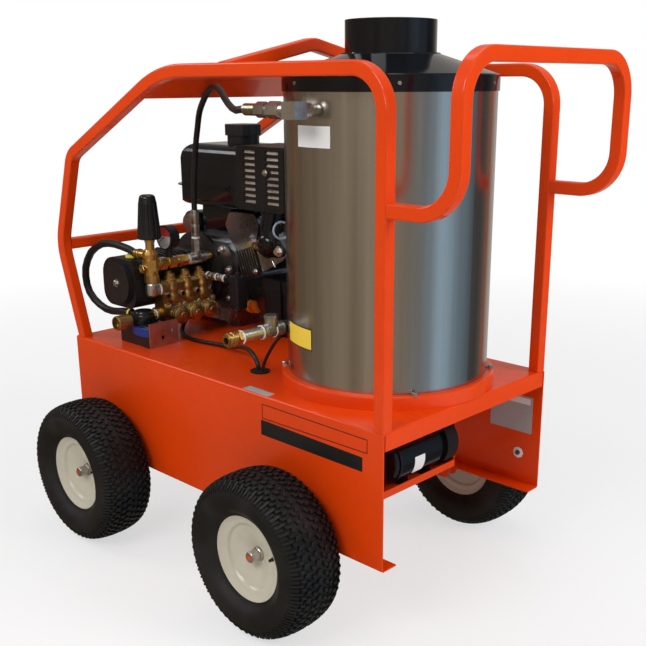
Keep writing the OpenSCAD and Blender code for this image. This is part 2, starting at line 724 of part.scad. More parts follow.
pad_h = 8;
base_h = 12;
block_y = [56, 205];
cover_y = [28, 56];
crank = [crank_x, crank_z];
shaft_bore = shaft_d + 0.1;
case_top = 84;
case_outline = rounded([
  [crank_x - 112, crank_z - 121], [crank_x + 112, crank_z - 121], [crank_x + 128, crank_z - 70],
  [crank_x + 128, crank_z + 52], [crank_x + 103, crank_z + case_top],
  [crank_x - 62, crank_z + case_top],
  [crank_x - 108, crank_z + 46], [crank_x - 108, crank_z - 90]
], [4, 4, 30, 34, 26, 40, 40, 30]);

fin_t = 3;
fin_pitch = 9;
fin_count = 8;
fin_start = 132;
barrel_w = 96;

shroud_y = 34;
shroud_bolt = [316, 684];
starter_d = 60;
starter_at = [50, 692];

module along_cylinder() translate([crank_x, 0, crank_z]) rotate([0, -cylinder_lean, 0])
  children();

// crankcase and finned cylinder, one casting
module engine_block() color([0.45, 0.45, 0.46]) from_front_end() difference() {
  union() {
    prism_y(case_outline, block_y[0], block_y[1]);
    // feet
    for (x = [crank_x - 105, crank_x + 55])
      block([x, block_y[0] + 6, deck_top], [x + 50, block_y[1] - 4, crank_z - 115]);
    along_cylinder() {
      block([70, 62, -barrel_w / 2], [206, 62 + barrel_w, barrel_w / 2]);
      for (i = [0 : fin_count - 1])
        translate([fin_start + i * fin_pitch, 0, 0])
          prism_x(rounded(box_outline([44, -66], [178, 62]), 12), 0, fin_t);
    }
    // air shroud over the cylinder's near side, with the bolt that holds it
    prism_y(rounded([
      [222, 706], [238, 738], [330, 741], [344, 716], [330, 668], [290, 655], [262, 646]
    ], [12, 14, 14, 14, 20, 0, 12]), shroud_y, head_y[0]);
    rod_y(20, shroud_y - 3, shroud_y, shroud_bolt);
    hex_y(12, shroud_y - 9, shroud_y - 3, shroud_bolt);
    // electric starter beside the crankcase
    rod_y(starter_d, block_y[0] + 8, block_y[1] - 2, starter_at);
    rod_y(starter_d - 16, block_y[0] - 2, block_y[0] + 8, starter_at);
    // governor plate with the throttle lever's pivot
    block([228, lever_y - 7, crank_z + 60], [282, lever_y - 0.3, lever_at.y + 12]);
    rod_y(6, lever_y - 7, lever_y + 5.3, lever_at);
    rod_y(11, lever_y + 5.3, lever_y + 8, lever_at);
    // filler neck for the dipstick
    rod_x(dipstick_neck_d, crank_x + 100, crank_x + 150, dipstick_at);
  }
  rod_y(shaft_bore, block_y[0] - 1, block_y[1] + 1, crank);
  rod_x(dipstick_rod_d + 2, crank_x + 20, crank_x + 151, dipstick_at);
}

dipstick_at = [62, 508];
dipstick_rod_d = 6;
dipstick_neck_d = 34;
module oil_dipstick() color("orange") from_front_end() {
  x = crank_x + 150 + cap_clearance;
  rod_x(dipstick_rod_d, crank_x + 40, x, dipstick_at);
  rod_x(32, x, x + 8, dipstick_at);
  translate([x + 8, dipstick_at.x, dipstick_at.y]) rotate([0, 90, 0]) rotate(25)
    translate([-15, -4, 0]) cube([30, 8, 14]);
}

// cover on the drive side, with its flange, boss and a gland for the cable
cover_gland = [128, 482];
cover_boss_d = 12;
flange_r = 94;
// the bosses stand outside the pump's flange
cover_bolts = [
  [-92, -76], [-96, -30], [88, 58], [112, 10], [112, -60], [60, -104], [-60, -104]
];
module crankcase_cover() color([0.55, 0.55, 0.56]) from_front_end() difference() {
  union() {
    prism_y(case_outline, block_y[0] - 12, block_y[0]);
    intersection() {
      prism_y(case_outline, cover_y[0], cover_y[1]);
      translate([-6, 0, 0]) prism_y(case_outline, cover_y[0], cover_y[1]);
      translate([6, 0, 0]) prism_y(case_outline, cover_y[0], cover_y[1]);
      translate([0, 0, -8]) prism_y(case_outline, cover_y[0], cover_y[1]);
    }
    rod_y(16, cover_y[0] - 8, cover_y[0], cover_gland);
    for (at = cover_bolts) rod_y(cover_boss_d, cover_y[0] - 1, cover_y[0], crank + at);
  }
  rod_y(shaft_bore, cover_y[0] - 9, cover_y[1] + 1, crank);
  // room for the dipstick's neck and for the cylinder's fins
  rod_x(dipstick_neck_d + 2, crank_x + 99, crank_x + 151, dipstick_at);
  along_cylinder() block([fin_start - 1, cover_y[0] - 1, -80], [head_start, cover_y[1] + 1, 80]);
}

head_start = 206;
head_end = 296;
head_y = [46, 176];
module cylinder_head() color([0.6, 0.6, 0.61]) from_front_end() difference() {
  along_cylinder() {
    prism_y(rounded([
      [head_start, -64], [head_end, -52], [head_end, 40], [head_end - 34, 62], [head_start, 62]
    ], [6, 16, 10, 14, 6]), head_y[0], head_y[1]);
    // rocker cover
    prism_x(rounded(box_outline([head_y[0] + 12, -46], [head_y[1] - 14, 34]), 14),
            head_end, head_end + 24);
  }
  // pocket for the exhaust elbow
  rod_z(elbow_d + 2, elbow_foot, guard_low.z, elbow_at);
}

// black outlet elbow, silencer and its louvred guard
guard_low = [283, 22, 751];
guard_high = [443, 150, 897];
guard_t = 1.5;
guard_r = 12;
louvre_h = 7;
louvre_pitch = 14;
louvre_count = 9;
elbow_d = 44;
elbow_at = [376, 50];
elbow_foot = 672;

module muffler() color([0.1, 0.1, 0.1]) from_front_end() {
  prism_y(rounded(box_outline([guard_low.x + 10, guard_low.z + 10],
                              [guard_high.x - 10, guard_high.z - 10]), 26),
          guard_low.y + 12, guard_high.y - 8);
  // elbow down to the head's exhaust port
  rod_z(elbow_d, elbow_foot, guard_low.z + 24, elbow_at);
}

module muffler_guard() color([0.1, 0.1, 0.1]) from_front_end() {
  outside = box_outline([guard_low.x, guard_low.z], [guard_high.x, guard_high.z]);
  inside = box_outline([guard_low.x + guard_t, guard_low.z + guard_t],
                       [guard_high.x - guard_t, guard_high.z - guard_t]);
  difference() {
    prism_y(rounded(outside, guard_r), guard_low.y, guard_high.y);
    prism_y(rounded(inside, guard_r - guard_t), guard_low.y + guard_t, guard_high.y + 1);
    rod_z(elbow_d + 6, guard_low.z - 1, guard_low.z + 3, elbow_at);
    for (i = [0 : louvre_count - 1]) {
      z = guard_low.z + 18 + i * louvre_pitch;
      block([guard_low.x + 26, guard_low.y - 1, z], [guard_low.x + 66, guard_low.y + 3, z + louvre_h]);
      block([guard_high.x - 58, guard_low.y - 1, z],
            [guard_high.x - 16, guard_low.y + 3, z + louvre_h]);
    }
  }
  // bracket that holds the guard on the silencer
  block([guard_low.x + 70, guard_low.y + guard_t, guard_low.z + 66],
        [guard_low.x + 92, guard_low.y + 12, guard_low.z + 84]);
}

// stamped tank in two halves with a seam flange between
tank_x = 27;
tank_y = 26;
tank_foot = 742;
seam_h = 50;
seam_w = 8;
tank_shell_z = tank_foot + tank_h;
fuel_neck = [190, 128];
neck_d = 56;
module engine_fuel_tank() color([0.08, 0.08, 0.08]) from_front_end() {
  low = [tank_x + seam_w, tank_y + seam_w];
  high = [tank_x + tank_l - seam_w, tank_y + tank_w - seam_w];
  difference() {
    union() {
      intersection() {
        prism_z(rounded(box_outline(low, high), 34), tank_foot, tank_shell_z);
        prism_y(rounded([
          [low.x + 12, tank_foot], [high.x - 8, tank_foot], [high.x, tank_foot + seam_h],
          [high.x - 8, tank_shell_z], [low.x + 20, tank_shell_z], [low.x, tank_foot + seam_h]
        ], [24, 16, 0, 24, 36, 60]), low.y, high.y);
        prism_x(rounded([
          [low.y + 8, tank_foot], [high.y - 6, tank_foot], [high.y, tank_foot + seam_h],
          [high.y - 8, tank_shell_z], [low.y + 12, tank_shell_z], [low.y, tank_foot + seam_h]
        ], [20, 16, 0, 24, 30, 60]), low.x, high.x);
      }
      prism_z(rounded(box_outline([tank_x, tank_y], [tank_x + tank_l, tank_y + tank_w]), 40),
              tank_foot + seam_h - 1.5, tank_foot + seam_h + 1.5);
      rod_z(neck_d, tank_shell_z - 10, tank_shell_z + 14, fuel_neck);
    }
    rod_z(neck_d - 10, tank_foot + 30, tank_shell_z + 15, fuel_neck);
  }
  // legs down to the crankcase
  for (y = [tank_y + 50, tank_y + tank_w - 45])
    block([crank_x - 40, y, crank_z + case_top], [crank_x + 70, y + 12, tank_foot]);
}

fuel_cap_h = 46;
module fuel_cap() color([0.08, 0.08, 0.08]) from_front_end()
  translate([fuel_neck.x, fuel_neck.y, tank_shell_z + cap_clearance])
    lobed_cap(fuel_cap_d, fuel_cap_d - 18, fuel_cap_h, neck_d + 2 * cap_clearance, 14.4);

cleaner_low = [292, 182];
cleaner_high = [424, 285];
cleaner_foot = 715;
cleaner_mid = 792;
cleaner_top = 838;
cleaner_step = 5;
carburettor_foot = 672;
carburettor_x = [318, 372];
module air_cleaner() color([0.12, 0.12, 0.12]) from_front_end() {
  step = [cleaner_step, cleaner_step];
  prism_z(rounded(box_outline(cleaner_low, cleaner_high), 16), cleaner_foot, cleaner_mid);
  prism_z(rounded(box_outline(cleaner_low + step, cleaner_high - step), 22),
          cleaner_mid, cleaner_top);
  // carburettor between it and the head
  block([carburettor_x[0], head_y[1], carburettor_foot],
        [carburettor_x[1], cleaner_low.y + 34, cleaner_foot]);
}

// fan cover with the recoil starter in its middle
rope_x = crank_x - 62;
rope_bore = 8.4;
module recoil_housing() color([0.1, 0.1, 0.1]) from_front_end() difference() {
  union() {
    turned_y(crank) polygon(rounded([
      [0, block_y[1]], [recoil_d / 2 + 18, block_y[1]], [recoil_d / 2 + 18, block_y[1] + 28],
      [recoil_d / 2 - 20, block_y[1] + 48], [recoil_d / 2 - 26, block_y[1] + 80],
      [0, block_y[1] + 80]
    ], [0, 0, 12, 8, 10, 0]));
    prism_y(rounded([
      [crank_x - 100, crank_z], [crank_x + 100, crank_z], [crank_x + 128, crank_z + 110],
      [crank_x + 40, crank_z + 140], [crank_x - 70, crank_z + 118]
    ], [0, 0, 20, 20, 30]), block_y[1], block_y[1] + 40);
    block([rope_x - 12, block_y[1] + 30, crank_z + 60], [rope_x + 12, block_y[1] + 64, crank_z + 112]);
  }
  rod_z(rope_bore, crank_z - 60, crank_z + 113, [rope_x, block_y[1] + 50]);
  rod_y(shaft_bore, block_y[1] - 1, block_y[1] + 26, crank);
}

grip_gap = 0.3;
module starter_grip() color([0.1, 0.1, 0.1]) from_front_end() {
  at = [rope_x, block_y[1] + 50];
  z = crank_z + 112 + grip_gap;
  rod_z(rope_bore - 0.4, crank_z - 55, z, at);
  prism_y(rounded([
    [rope_x - 9, z], [rope_x + 9, z], [rope_x + 13, z + 10], [rope_x + 32, z + 14],
    [rope_x + 32, z + 30], [rope_x - 32, z + 30], [rope_x - 32, z + 14], [rope_x - 13, z + 10]
  ], [3, 3, 5, 5, 9, 9, 5, 5]), at.y - 9, at.y + 9);
}

// lever on the governor plate, under the tank's inner end
lever_at = [266, 686];
lever_y = 188;
module throttle_lever() color([0.15, 0.15, 0.15]) from_front_end() difference() {
  prism_y(rounded([
    lever_at + [-8, -8], lever_at + [8, -8], lever_at + [10, 34], lever_at + [2, 46],
    lever_at + [-7, 46], lever_at + [-7, 30]
  ], [7, 7, 5, 4, 4, 5]), lever_y, lever_y + 5);
  rod_y(6.1, lever_y - 1, lever_y + 6, lever_at);
}

shaft_front = -40;
shaft_back = 228;
module drive_shaft() color("silver") from_front_end() rod_y(shaft_d, shaft_front, shaft_back, crank);

// ---- pump ----

pump_end = 4;
pump_front = pump_end - pump_l;
pump_low = [34, 524];
pump_high = [165, 640];
end_cover_d = 98;
end_cover_t = 12;
end_cover_at = [108, 583];

module pump_flange() color([0.12, 0.12, 0.12]) from_front_end() difference() {
  turned_y(crank) polygon([
    [0, pump_end], [62, pump_end], [62, pump_end + 8], [flange_r, pump_end + 14],
    [flange_r, cover_y[0]], [0, cover_y[0]]
  ]);
  rod_y(shaft_bore, pump_end - 1, cover_y[0] + 1, crank);
}

module pump_crankcase() color([0.12, 0.12, 0.12]) from_front_end() difference() {
  union() {
    prism_y(rounded(box_outline(pump_low, pump_high), [34, 30, 26, 44]), pump_front, pump_end);
    // round cover on the near end, with its bolt
    rod_y(end_cover_d + 8, pump_front - 5, pump_front, end_cover_at);
    rod_y(end_cover_d, pump_front - end_cover_t, pump_front - 5, end_cover_at);
    hex_y(13, pump_front - end_cover_t - 5, pump_front - end_cover_t, end_cover_at);
    // cooling ribs across the top
    for (y = [pump_front + 60 : 16 : pump_end - 30])
      prism_y(rounded(box_outline(pump_low + [20, 60], pump_high - [12, -4]), 8), y, y + 5);
    // oil filler plug
    rod_z(20, pump_high.y - 4, pump_high.y + 6, [124, -172]);
    hex_z(18, pump_high.y + 6, pump_high.y + 8, [124, -172]);
  }
  rod_y(shaft_bore, shaft_front - 1, pump_end + 1, crank);
}

// valve head: manifold block, suction and discharge galleries and their caps
head_front = -144;
head_back = 3.5;
manifold_x = pump_high.x;
suction_z = 508;
discharge_z = 568;
first_plunger_y = -25;

module pump_head() color([0.72, 0.53, 0.22]) from_front_end() {
  prism_y(rounded([
    [manifold_x, suction_z - 16], [manifold_x + 36, suction_z - 16],
    [manifold_x + 42, suction_z - 8], [manifold_x + 42, suction_z + 20],
    [manifold_x + 36, suction_z + 28], [manifold_x + 36, discharge_z + 14],
    [manifold_x + 28, discharge_z + 22], [manifold_x, discharge_z + 22]
  ], [4, 4, 6, 4, 4, 6, 6, 4]), head_front, head_back);
  rod_y(34, head_front - 8, head_back, [manifold_x + 12, suction_z + 1]);
  rod_y(30, head_front - 4, head_back, [manifold_x + 20, discharge_z]);
  for (i = [0 : 2]) {
    y = first_plunger_y - i * plunger_pitch;
    // suction cap with its stepped rim
    rod_x(suction_cap_d - 4, manifold_x + 30, manifold_x + 56, [y, suction_z]);
    rod_x(suction_cap_d, manifold_x + 50, manifold_x + 64, [y, suction_z]);
    rod_x(suction_cap_d - 7, manifold_x + 64, manifold_x + 68, [y, suction_z]);
    // plug between the galleries
    rod_x(21, manifold_x + 30, manifold_x + 44, [y, suction_z + 32]);
    // discharge cap
    rod_z(28, discharge_z + 20, discharge_z + 27, [manifold_x + 22, y]);
    hex_z(21, discharge_z + 27, discharge_z + 36, [manifold_x + 22, y]);
    for (z = [discharge_z - 13, suction_z + 27], side = i == 0 ? [-1, 1] : [-1])
      hex_x(10, manifold_x + 35, manifold_x + 43, [y + side * plunger_pitch / 2, z]);
  }
  // fitting that carries the pressure switch
  rod_x(13, manifold_x + 20, switch_x - 12, [switch_y, switch_z]);
}

// switch that stops the burner when the pump gives no pressure
switch_x = 296;
switch_y = -8;
switch_z = discharge_z + 18;
module pressure_switch() color([0.08, 0.08, 0.08]) from_front_end() {
  hex_x(19, switch_x - 12, switch_x, [switch_y, switch_z]);
  prism_z(rounded(box_outline([switch_x, switch_y - 17], [switch_x + 32, switch_y + 17]), 6),
          switch_z - 64, switch_z + 12);
  rod_z(14, switch_z + 12, switch_z + 20, [switch_x + 16, switch_y]);
}

// ---- unloader, outlet line, gauge and inlet ----

unloader = [187, -163];
unloader_foot = 590;
unloader_top = 663;
unloader_hex = 34;
unloader_neck_d = 21;
knob_foot = 691;
spindle_d = 14;
bypass_z = 655;
line_z = 630;
line_x = 188;
branch_y = -32;

module unloader_body() color("goldenrod") from_front_end() {
  // elbow from the discharge port
  rod_y(31, unloader.y - 9, head_front - 4, [manifold_x + 20, discharge_z + 2]);
  rod_z(26, discharge_z, unloader_foot, unloader);
  // hexagon body with its three ports, on a plain foot and under a flare
  rod_z(stem_d, unloader_foot, line_z - 12, unloader);
  hex_z(unloader_hex, line_z - 12, line_z + 14, unloader);
  translate([unloader.x, unloader.y, line_z + 14]) rotate_extrude() polygon([
    [0, 0], [unloader_hex / 2, 0], [unloader_hex / 2 + 1, 3], [unloader_hex / 2 + 1, 12],
    [unloader_neck_d / 2, unloader_top - line_z - 10], [0, unloader_top - line_z - 10]
  ]);
  rod_y(24, unloader.y, line_start, [line_x, line_z]);
  rod_y(16, unloader.y - 20, unloader.y, [unloader.x, line_z - 6]);
  hex_y(18, unloader.y - 27, unloader.y - 20, [unloader.x, line_z - 6]);
  rod_x(20, 164, unloader.x, [bypass_start.y, bypass_z]);
  rod_x(bypass_hose_d + 3, bypass_start.x, 164, [bypass_start.y, bypass_z]);
  // stem and the spindle that the knob turns on
  rod_z(unloader_neck_d, unloader_top, knob_foot - 7, unloader);
  rod_z(unloader_neck_d + 3, knob_foot - 7, knob_foot, unloader);
  rod_z(spindle_d, knob_foot, knob_foot + 70, unloader);
}

flute_count = 12;
module unloader_knob() color([0.08, 0.08, 0.08]) from_front_end()
  translate([unloader.x, unloader.y, knob_foot + cap_clearance]) difference() {
    rotate_extrude() polygon(rounded([
      [0, 0], [27.5, 0], [27.5, 8], [25, 34], [21, knob_h - 20], [17, knob_h], [0, knob_h]
    ], [0, 3, 4, 30, 12, 8, 0]));
    for (i = [0 : flute_count - 1]) rotate(i * 360 / flute_count)
      translate([28.5, 0, 14]) rotate([0, -5.2, 0]) cylinder(d = 7, h = knob_h - 34);
    translate([0, 0, -1]) cylinder(d = spindle_d + 0.1, h = 73);
  }

line_start = -140;
tee_start = -55;
tee_end = -8;
line_end = 12;
line_hex = 25;
hose_foot = 745;
module outlet_line() color("goldenrod") from_front_end() {
  at = [line_x, line_z];
  hex_y(27, line_start, line_start + 16, at);
  rod_y(20, line_start + 16, line_start + 24, at);
  hex_y(line_hex, line_start + 24, line_start + 46, at);
  rod_y(18, line_start + 46, line_start + 52, at);
  hex_y(24, line_start + 52, tee_start - 6, at);
  rod_y(20, tee_start - 6, tee_start, at);
  rod_y(28, tee_start, tee_end, at);
  rod_y(20, tee_end, line_end - 4, at);
  rod_y(17, line_end - 4, line_end, at);
  // branch up to the hose, with its ferrule
  rod_z(24, line_z, line_z + 18, [line_x + 2, branch_y]);
  hex_z(20, line_z + 18, line_z + 46, [line_x + 2, branch_y]);
  rod_z(15, line_z + 46, line_z + 54, [line_x + 2, branch_y]);
  rod_z(19, line_z + 54, hose_foot, [line_x + 2, branch_y]);
}

gauge_y = -109;
gauge_z = 689;
gauge_x = 186;
module pressure_gauge() color([0.25, 0.25, 0.25]) from_front_end() {
  rod_y(gauge_d, gauge_y - 12, gauge_y + 12, [gauge_x, gauge_z]);
  rod_y(gauge_d + 3, gauge_y - 14, gauge_y - 9, [gauge_x, gauge_z]);
  hex_z(14, line_z + line_hex / 2, gauge_z - gauge_d / 2 + 4, [gauge_x, gauge_y]);
}

// water strainer on its bracket, with the hose tail of the inlet
strainer = [177, -185];
strainer_mid = 497;
strainer_top = 525;
plate_edge = -132;
plate_top = 505;
bracket_low = [119, -212, deck_top];
bracket_high = [236, -154, strainer_mid];
inlet_z = 506;
tail_d = 20;
inlet_mouth = -261;
module inlet_strainer() color([0.1, 0.1, 0.12]) from_front_end() {
  prism_x(rounded([
    [bracket_low.y, bracket_low.z], [bracket_low.y + 4, bracket_low.z],
    [bracket_low.y + 4, bracket_high.z - 4], [bracket_high.y - 4, bracket_high.z - 4],
    [bracket_high.y - 4, bracket_low.z], [bracket_high.y, bracket_low.z],
    [bracket_high.y, bracket_high.z], [bracket_low.y, bracket_high.z]
  ], [0, 0, 2, 2, 0, 0, 6, 6]), bracket_low.x, bracket_high.x);
  rod_z(strainer_d - 4, deck_top + 6, strainer_mid + 2, strainer);
  rod_z(strainer_d, strainer_mid, strainer_top - 4, strainer);
  rod_z(strainer_d - 8, strainer_top - 4, strainer_top, strainer);
  // plate that stands on the bracket's end, slotted for its bolts
  difference() {
    block([bracket_high.x - 3, bracket_low.y, deck_top], [bracket_high.x, plate_edge, plate_top]);
    for (at = [[bracket_high.y + 6, deck_top + 33], [bracket_high.y - 22, deck_top + 21]])
      rod_x(9, bracket_high.x - 4, bracket_high.x + 1, at);
  }
  // ports: to the pump, to the hose tail and to the bypass hose
  rod_y(23, strainer.y, head_front - 8, [strainer.x, suction_z + 1]);
  rod_y(25, strainer.y - 30, strainer.y, [strainer.x - 2, inlet_z]);
  rod_y(tail_d, inlet_mouth + 12, strainer.y - 30, [strainer.x - 2, inlet_z]);
  rod_x(14, bypass_end.x + 6, strainer.x, [bypass_end.y, bypass_end.z]);
  rod_x(bypass_hose_d + 3, bypass_end.x, bypass_end.x + 8, [bypass_end.y, bypass_end.z]);
}

// garden hose swivel, free to turn on the tail
swivel_d = 34;
module inlet_swivel() color("goldenrod") from_front_end() difference() {
  turned_y([strainer.x - 2, inlet_z]) polygon([
    [tail_d / 2 + 0.05, strainer.y - 36], [swivel_d / 2 - 3, strainer.y - 36],
    [swivel_d / 2, strainer.y - 40], [swivel_d / 2, inlet_mouth + 3],
    [swivel_d / 2 - 1.5, inlet_mouth], [13.2, inlet_mouth], [13.2, inlet_mouth + 12],
    [tail_d / 2 + 0.05, inlet_mouth + 12]
  ]);
  for (i = [0 : 11])
    translate([strainer.x - 2, 0, inlet_z]) rotate([0, i * 30, 0])
      translate([swivel_d / 2 + 1.4, inlet_mouth + 4, 0]) rotate([-90, 0, 0])
        cylinder(d = 5, h = 17);
}

// ---- hoses and cables ----

bypass_route = [
  [150, -176, 655], [144, -176, 655], [136, -177, 658], [125, -178, 661.5], [100, -181, 666],
  [76, -184, 669], [52, -187, 669], [28, -189, 665], [5, -191, 655], [-18, -192, 640],
  [-35, -193, 619], [-45, -194, 598], [-48, -194, 577], [-45, -194, 557], [-36, -194, 539],
  [-18, -193, 523], [5, -192, 512], [30, -191, 505], [55, -190, 504], [80, -190, 507],
  [104, -190, 511], [118, -190, 512], [128, -190, 512]
];
bypass_start = bypass_route[0];
bypass_end = bypass_route[len(bypass_route) - 1];
pressure_route = [
  [190, -32, 745], [190, -32, 752], [191, -33, 768], [194, -34, 793], [199, -36, 820], [206, -38, 850],
  [216, -42, 882], [227, -46, 912], [240, -51, 938], [256, -60, 958], [276, -72, 973],
  [300, -86, 985], [325, -100, 996], [352, -115, 1007], [380, -130, 1016], [408, -146, 1023],
  [432, -157, 1027], [455, -168, 1027], [478, -180, 1023], [500, -191, 1015],
  [522, -202, 1005], [546, -214, 996], [572, -227, 989], [598, -240, 986],
  [618, -251, 987.5], [634, -255, 988.7], [643, -255, 988.7]
];
inlet_hose_end = pressure_route[len(pressure_route) - 1];
engine_cable_route = [
  [128, 20, 482], [128, 12, 482], [129, 2, 481], [134, -18, 477], [144, -38, 470], [158, -58, 462],
  [176, -76, 455], [198, -90, 452], [222, -99, 452], [250, -104, 452], [280, -102, 452],
  [310, -96, 452], [340, -92, 453], [370, -95, 456], [400, -103, 462], [430, -112, 469],
  [460, -122, 475], [488, -133, 478], [512, -143, 476], [530, -150, 470], [540, -154, 463],
  [543, -155, 457], [543, -155, 450]
];
sensor_cable_route = [
  [560, -157, 450], [560, -157, 456], [562, -155, 466], [565, -154, 474], [569, -153, 482],
  [574, -153, 490], [580, -153, 498], [586, -154, 505], [592, -155, 512], [598, -156, 518],
  [604, -157, 524], [610, -158, 529], [615, -159, 533], [619, -160, 536.5],
  [620, -160, 539], [620, -160, 541]
];

// tube swept along a route, its ends square to the route's first and last stretch
function way(p, i) = unit(p[min(i + 1, len(p) - 1)] - p[max(i - 1, 0)]);
function swept_sides(p) = [
  for (i = 0, s = unit(cross(way(p, 0), [0.3, 1, 0.2])); i < len(p);
       i = i + 1, s = i < len(p) ? unit(s - (s * way(p, i)) * way(p, i)) : s) s
];
module swept_tube(p, d, sides) {
  n = len(p);
  side = swept_sides(p);
  points = [
    for (i = [0 : n - 1], k = [0 : sides - 1])
      let (a = k * 360 / sides, up = cross(way(p, i), side[i]))
        p[i] + d / 2 * (cos(a) * side[i] + sin(a) * up)
  ];
  walls = [
    for (i = [0 : n - 2], k = [0 : sides - 1])
      let (a = i * sides + k, b = i * sides + (k + 1) % sides)
        each [[a, a + sides, b], [b, a + sides, b + sides]]
  ];
  ends = [
    for (k = [1 : sides - 2])
      each [[0, k, k + 1],
            [(n - 1) * sides, (n - 1) * sides + k + 1, (n - 1) * sides + k]]
  ];
  polyhedron(points, concat(walls, ends));
}

module bypass_hose() color([0.1, 0.1, 0.1]) from_front_end()
  swept_tube(bypass_route, bypass_hose_d, 10);
module pressure_hose() color([0.1, 0.1, 0.1]) from_front_end()
  swept_tube(pressure_route, pressure_hose_d, 10);
module engine_cable() color([0.1, 0.1, 0.1]) from_front_end()
  swept_tube(engine_cable_route, engine_cable_d, 8);
module sensor_cable() color([0.1, 0.1, 0.1]) from_front_end()
  swept_tube(sensor_cable_route, sensor_cable_d, 8);

// rubber grommet that the cables pass the deck by
module cable_grommet() color([0.1, 0.1, 0.1]) from_front_end() {
  rod_z(grommet_d, deck_under - 3, deck_top, grommet);
  rod_z(grommet_d + 8, deck_top, deck_top + 3, grommet);
}

deck_plate();
side_panel_left();
side_panel_right();
burner_pan();
axles();
tyre_front_left();
tyre_front_right();
tyre_rear_left();
tyre_rear_right();
rim_front_left();
rim_front_right();
rim_rear_left();
rim_rear_right();
roll_frame_left();
roll_frame_right();
front_crossbar();
lifting_bail();
push_handle();
top_panel();
boiler_ring();
boiler_jacket();
boiler_cap();
heating_coil();
coil_inlet();
outlet_tee();
outlet_coupler();
coupler_sleeve();
burner_housing();
burner_motor();
burner_fuel_tank();
filler_cap();
battery();
engine_block();
crankcase_cover();
cylinder_head();
engine_fuel_tank();
fuel_cap();
muffler();
muffler_guard();
air_cleaner();
recoil_housing();
starter_grip();
throttle_lever();
oil_dipstick();
drive_shaft();
pump_flange();
pump_crankcase();
pump_head();
pressure_switch();
unloader_body();
unloader_knob();
outlet_line();
pressure_gauge();
inlet_strainer();
inlet_swivel();
bypass_hose();
pressure_hose();
engine_cable();
sensor_cable();
cable_grommet();
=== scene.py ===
import math
import bpy
import bmesh
from mathutils import Matrix, Vector


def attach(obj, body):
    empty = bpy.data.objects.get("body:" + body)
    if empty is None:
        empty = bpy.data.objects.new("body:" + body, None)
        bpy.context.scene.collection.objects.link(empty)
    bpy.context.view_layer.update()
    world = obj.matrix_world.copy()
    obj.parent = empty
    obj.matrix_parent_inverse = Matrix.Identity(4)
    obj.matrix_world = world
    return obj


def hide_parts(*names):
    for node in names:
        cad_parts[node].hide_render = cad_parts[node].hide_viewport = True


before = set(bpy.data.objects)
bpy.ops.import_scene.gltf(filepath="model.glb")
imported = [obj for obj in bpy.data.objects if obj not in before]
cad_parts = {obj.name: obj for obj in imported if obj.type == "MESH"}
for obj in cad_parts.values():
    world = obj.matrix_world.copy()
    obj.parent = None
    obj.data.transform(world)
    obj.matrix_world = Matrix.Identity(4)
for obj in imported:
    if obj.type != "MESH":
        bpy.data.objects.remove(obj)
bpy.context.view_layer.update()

deckFront = 541.588  # mm from the deck's front end to the origin
mergeDistance = 1e-6  # m between corners that are one


def at(x, y, z):
    # a point in mm from the deck's front end, the centre line and the floor
    return Vector(((x - deckFront) / 1000, y / 1000, z / 1000))


# camera

camera = {
    "position": (1.444562, -1.42104, 1.03566),
    "azimuth": 43.52, "elevation": 16.62, "roll": -0.15,
    "lens": 52.289, "shiftX": -0.02663, "shiftY": 0.06076, "sensor": 36,
    "clip": (0.02, 50),
}


def makeCamera(c):
    data = bpy.data.cameras.new("camera")
    data.lens, data.sensor_width = c["lens"], c["sensor"]
    data.shift_x, data.shift_y = c["shiftX"], c["shiftY"]
    data.clip_start, data.clip_end = c["clip"]
    a, e, r = (math.radians(c[k]) for k in ("azimuth", "elevation", "roll"))
    back = Vector((math.sin(a) * math.cos(e), -math.cos(a) * math.cos(e), math.sin(e)))
    right = Vector((math.cos(a), math.sin(a), 0))
    up = back.cross(right)
    x = math.cos(r) * right + math.sin(r) * up
    y = -math.sin(r) * right + math.cos(r) * up
    ob = bpy.data.objects.new("camera", data)
    bpy.context.scene.collection.objects.link(ob)
    ob.matrix_world = Matrix((
        (x.x, y.x, back.x, c["position"][0]), (x.y, y.y, back.y, c["position"][1]),
        (x.z, y.z, back.z, c["position"][2]), (0, 0, 0, 1)))
    bpy.context.scene.camera = ob


makeCamera(camera)


# small helpers for meshes

def newObject(name, data):
    ob = bpy.data.objects.new(name, data)
    bpy.context.scene.collection.objects.link(ob)
    return ob


def meshOf(name, bm, smoothAngle=35, merge=True):
    if merge:
        bmesh.ops.remove_doubles(bm, verts=bm.verts, dist=mergeDistance)
        bmesh.ops.recalc_face_normals(bm, faces=bm.faces)
    me = bpy.data.meshes.new(name)
    bm.to_mesh(me)
    bm.free()
    if smoothAngle:
        me.shade_smooth()
        me.set_sharp_from_angle(angle=math.radians(smoothAngle))
    return me


def finishMesh(name, bm, smoothAngle=35, merge=True):
    return newObject(name, meshOf(name, bm, smoothAngle, merge))


def basis(axis):
    # turn that takes Z to the given axis
    return Vector(axis).normalized().to_track_quat("Z", "Y").to_matrix().to_4x4()


def polar(radius, degrees):
    a = math.radians(degrees)
    return radius * math.cos(a), radius * math.sin(a)


def skin(bm, rings, foot=True):
    # walls between rings of corners, a lid on the last and one under the first
    for low, high in zip(rings, rings[1:]):
        for i in range(len(low)):
            j = (i + 1) % len(low)
            bm.faces.new((low[i], low[j], high[j], high[i]))
    bm.faces.new(rings[-1])
    if foot:
        bm.faces.new(list(reversed(rings[0])))


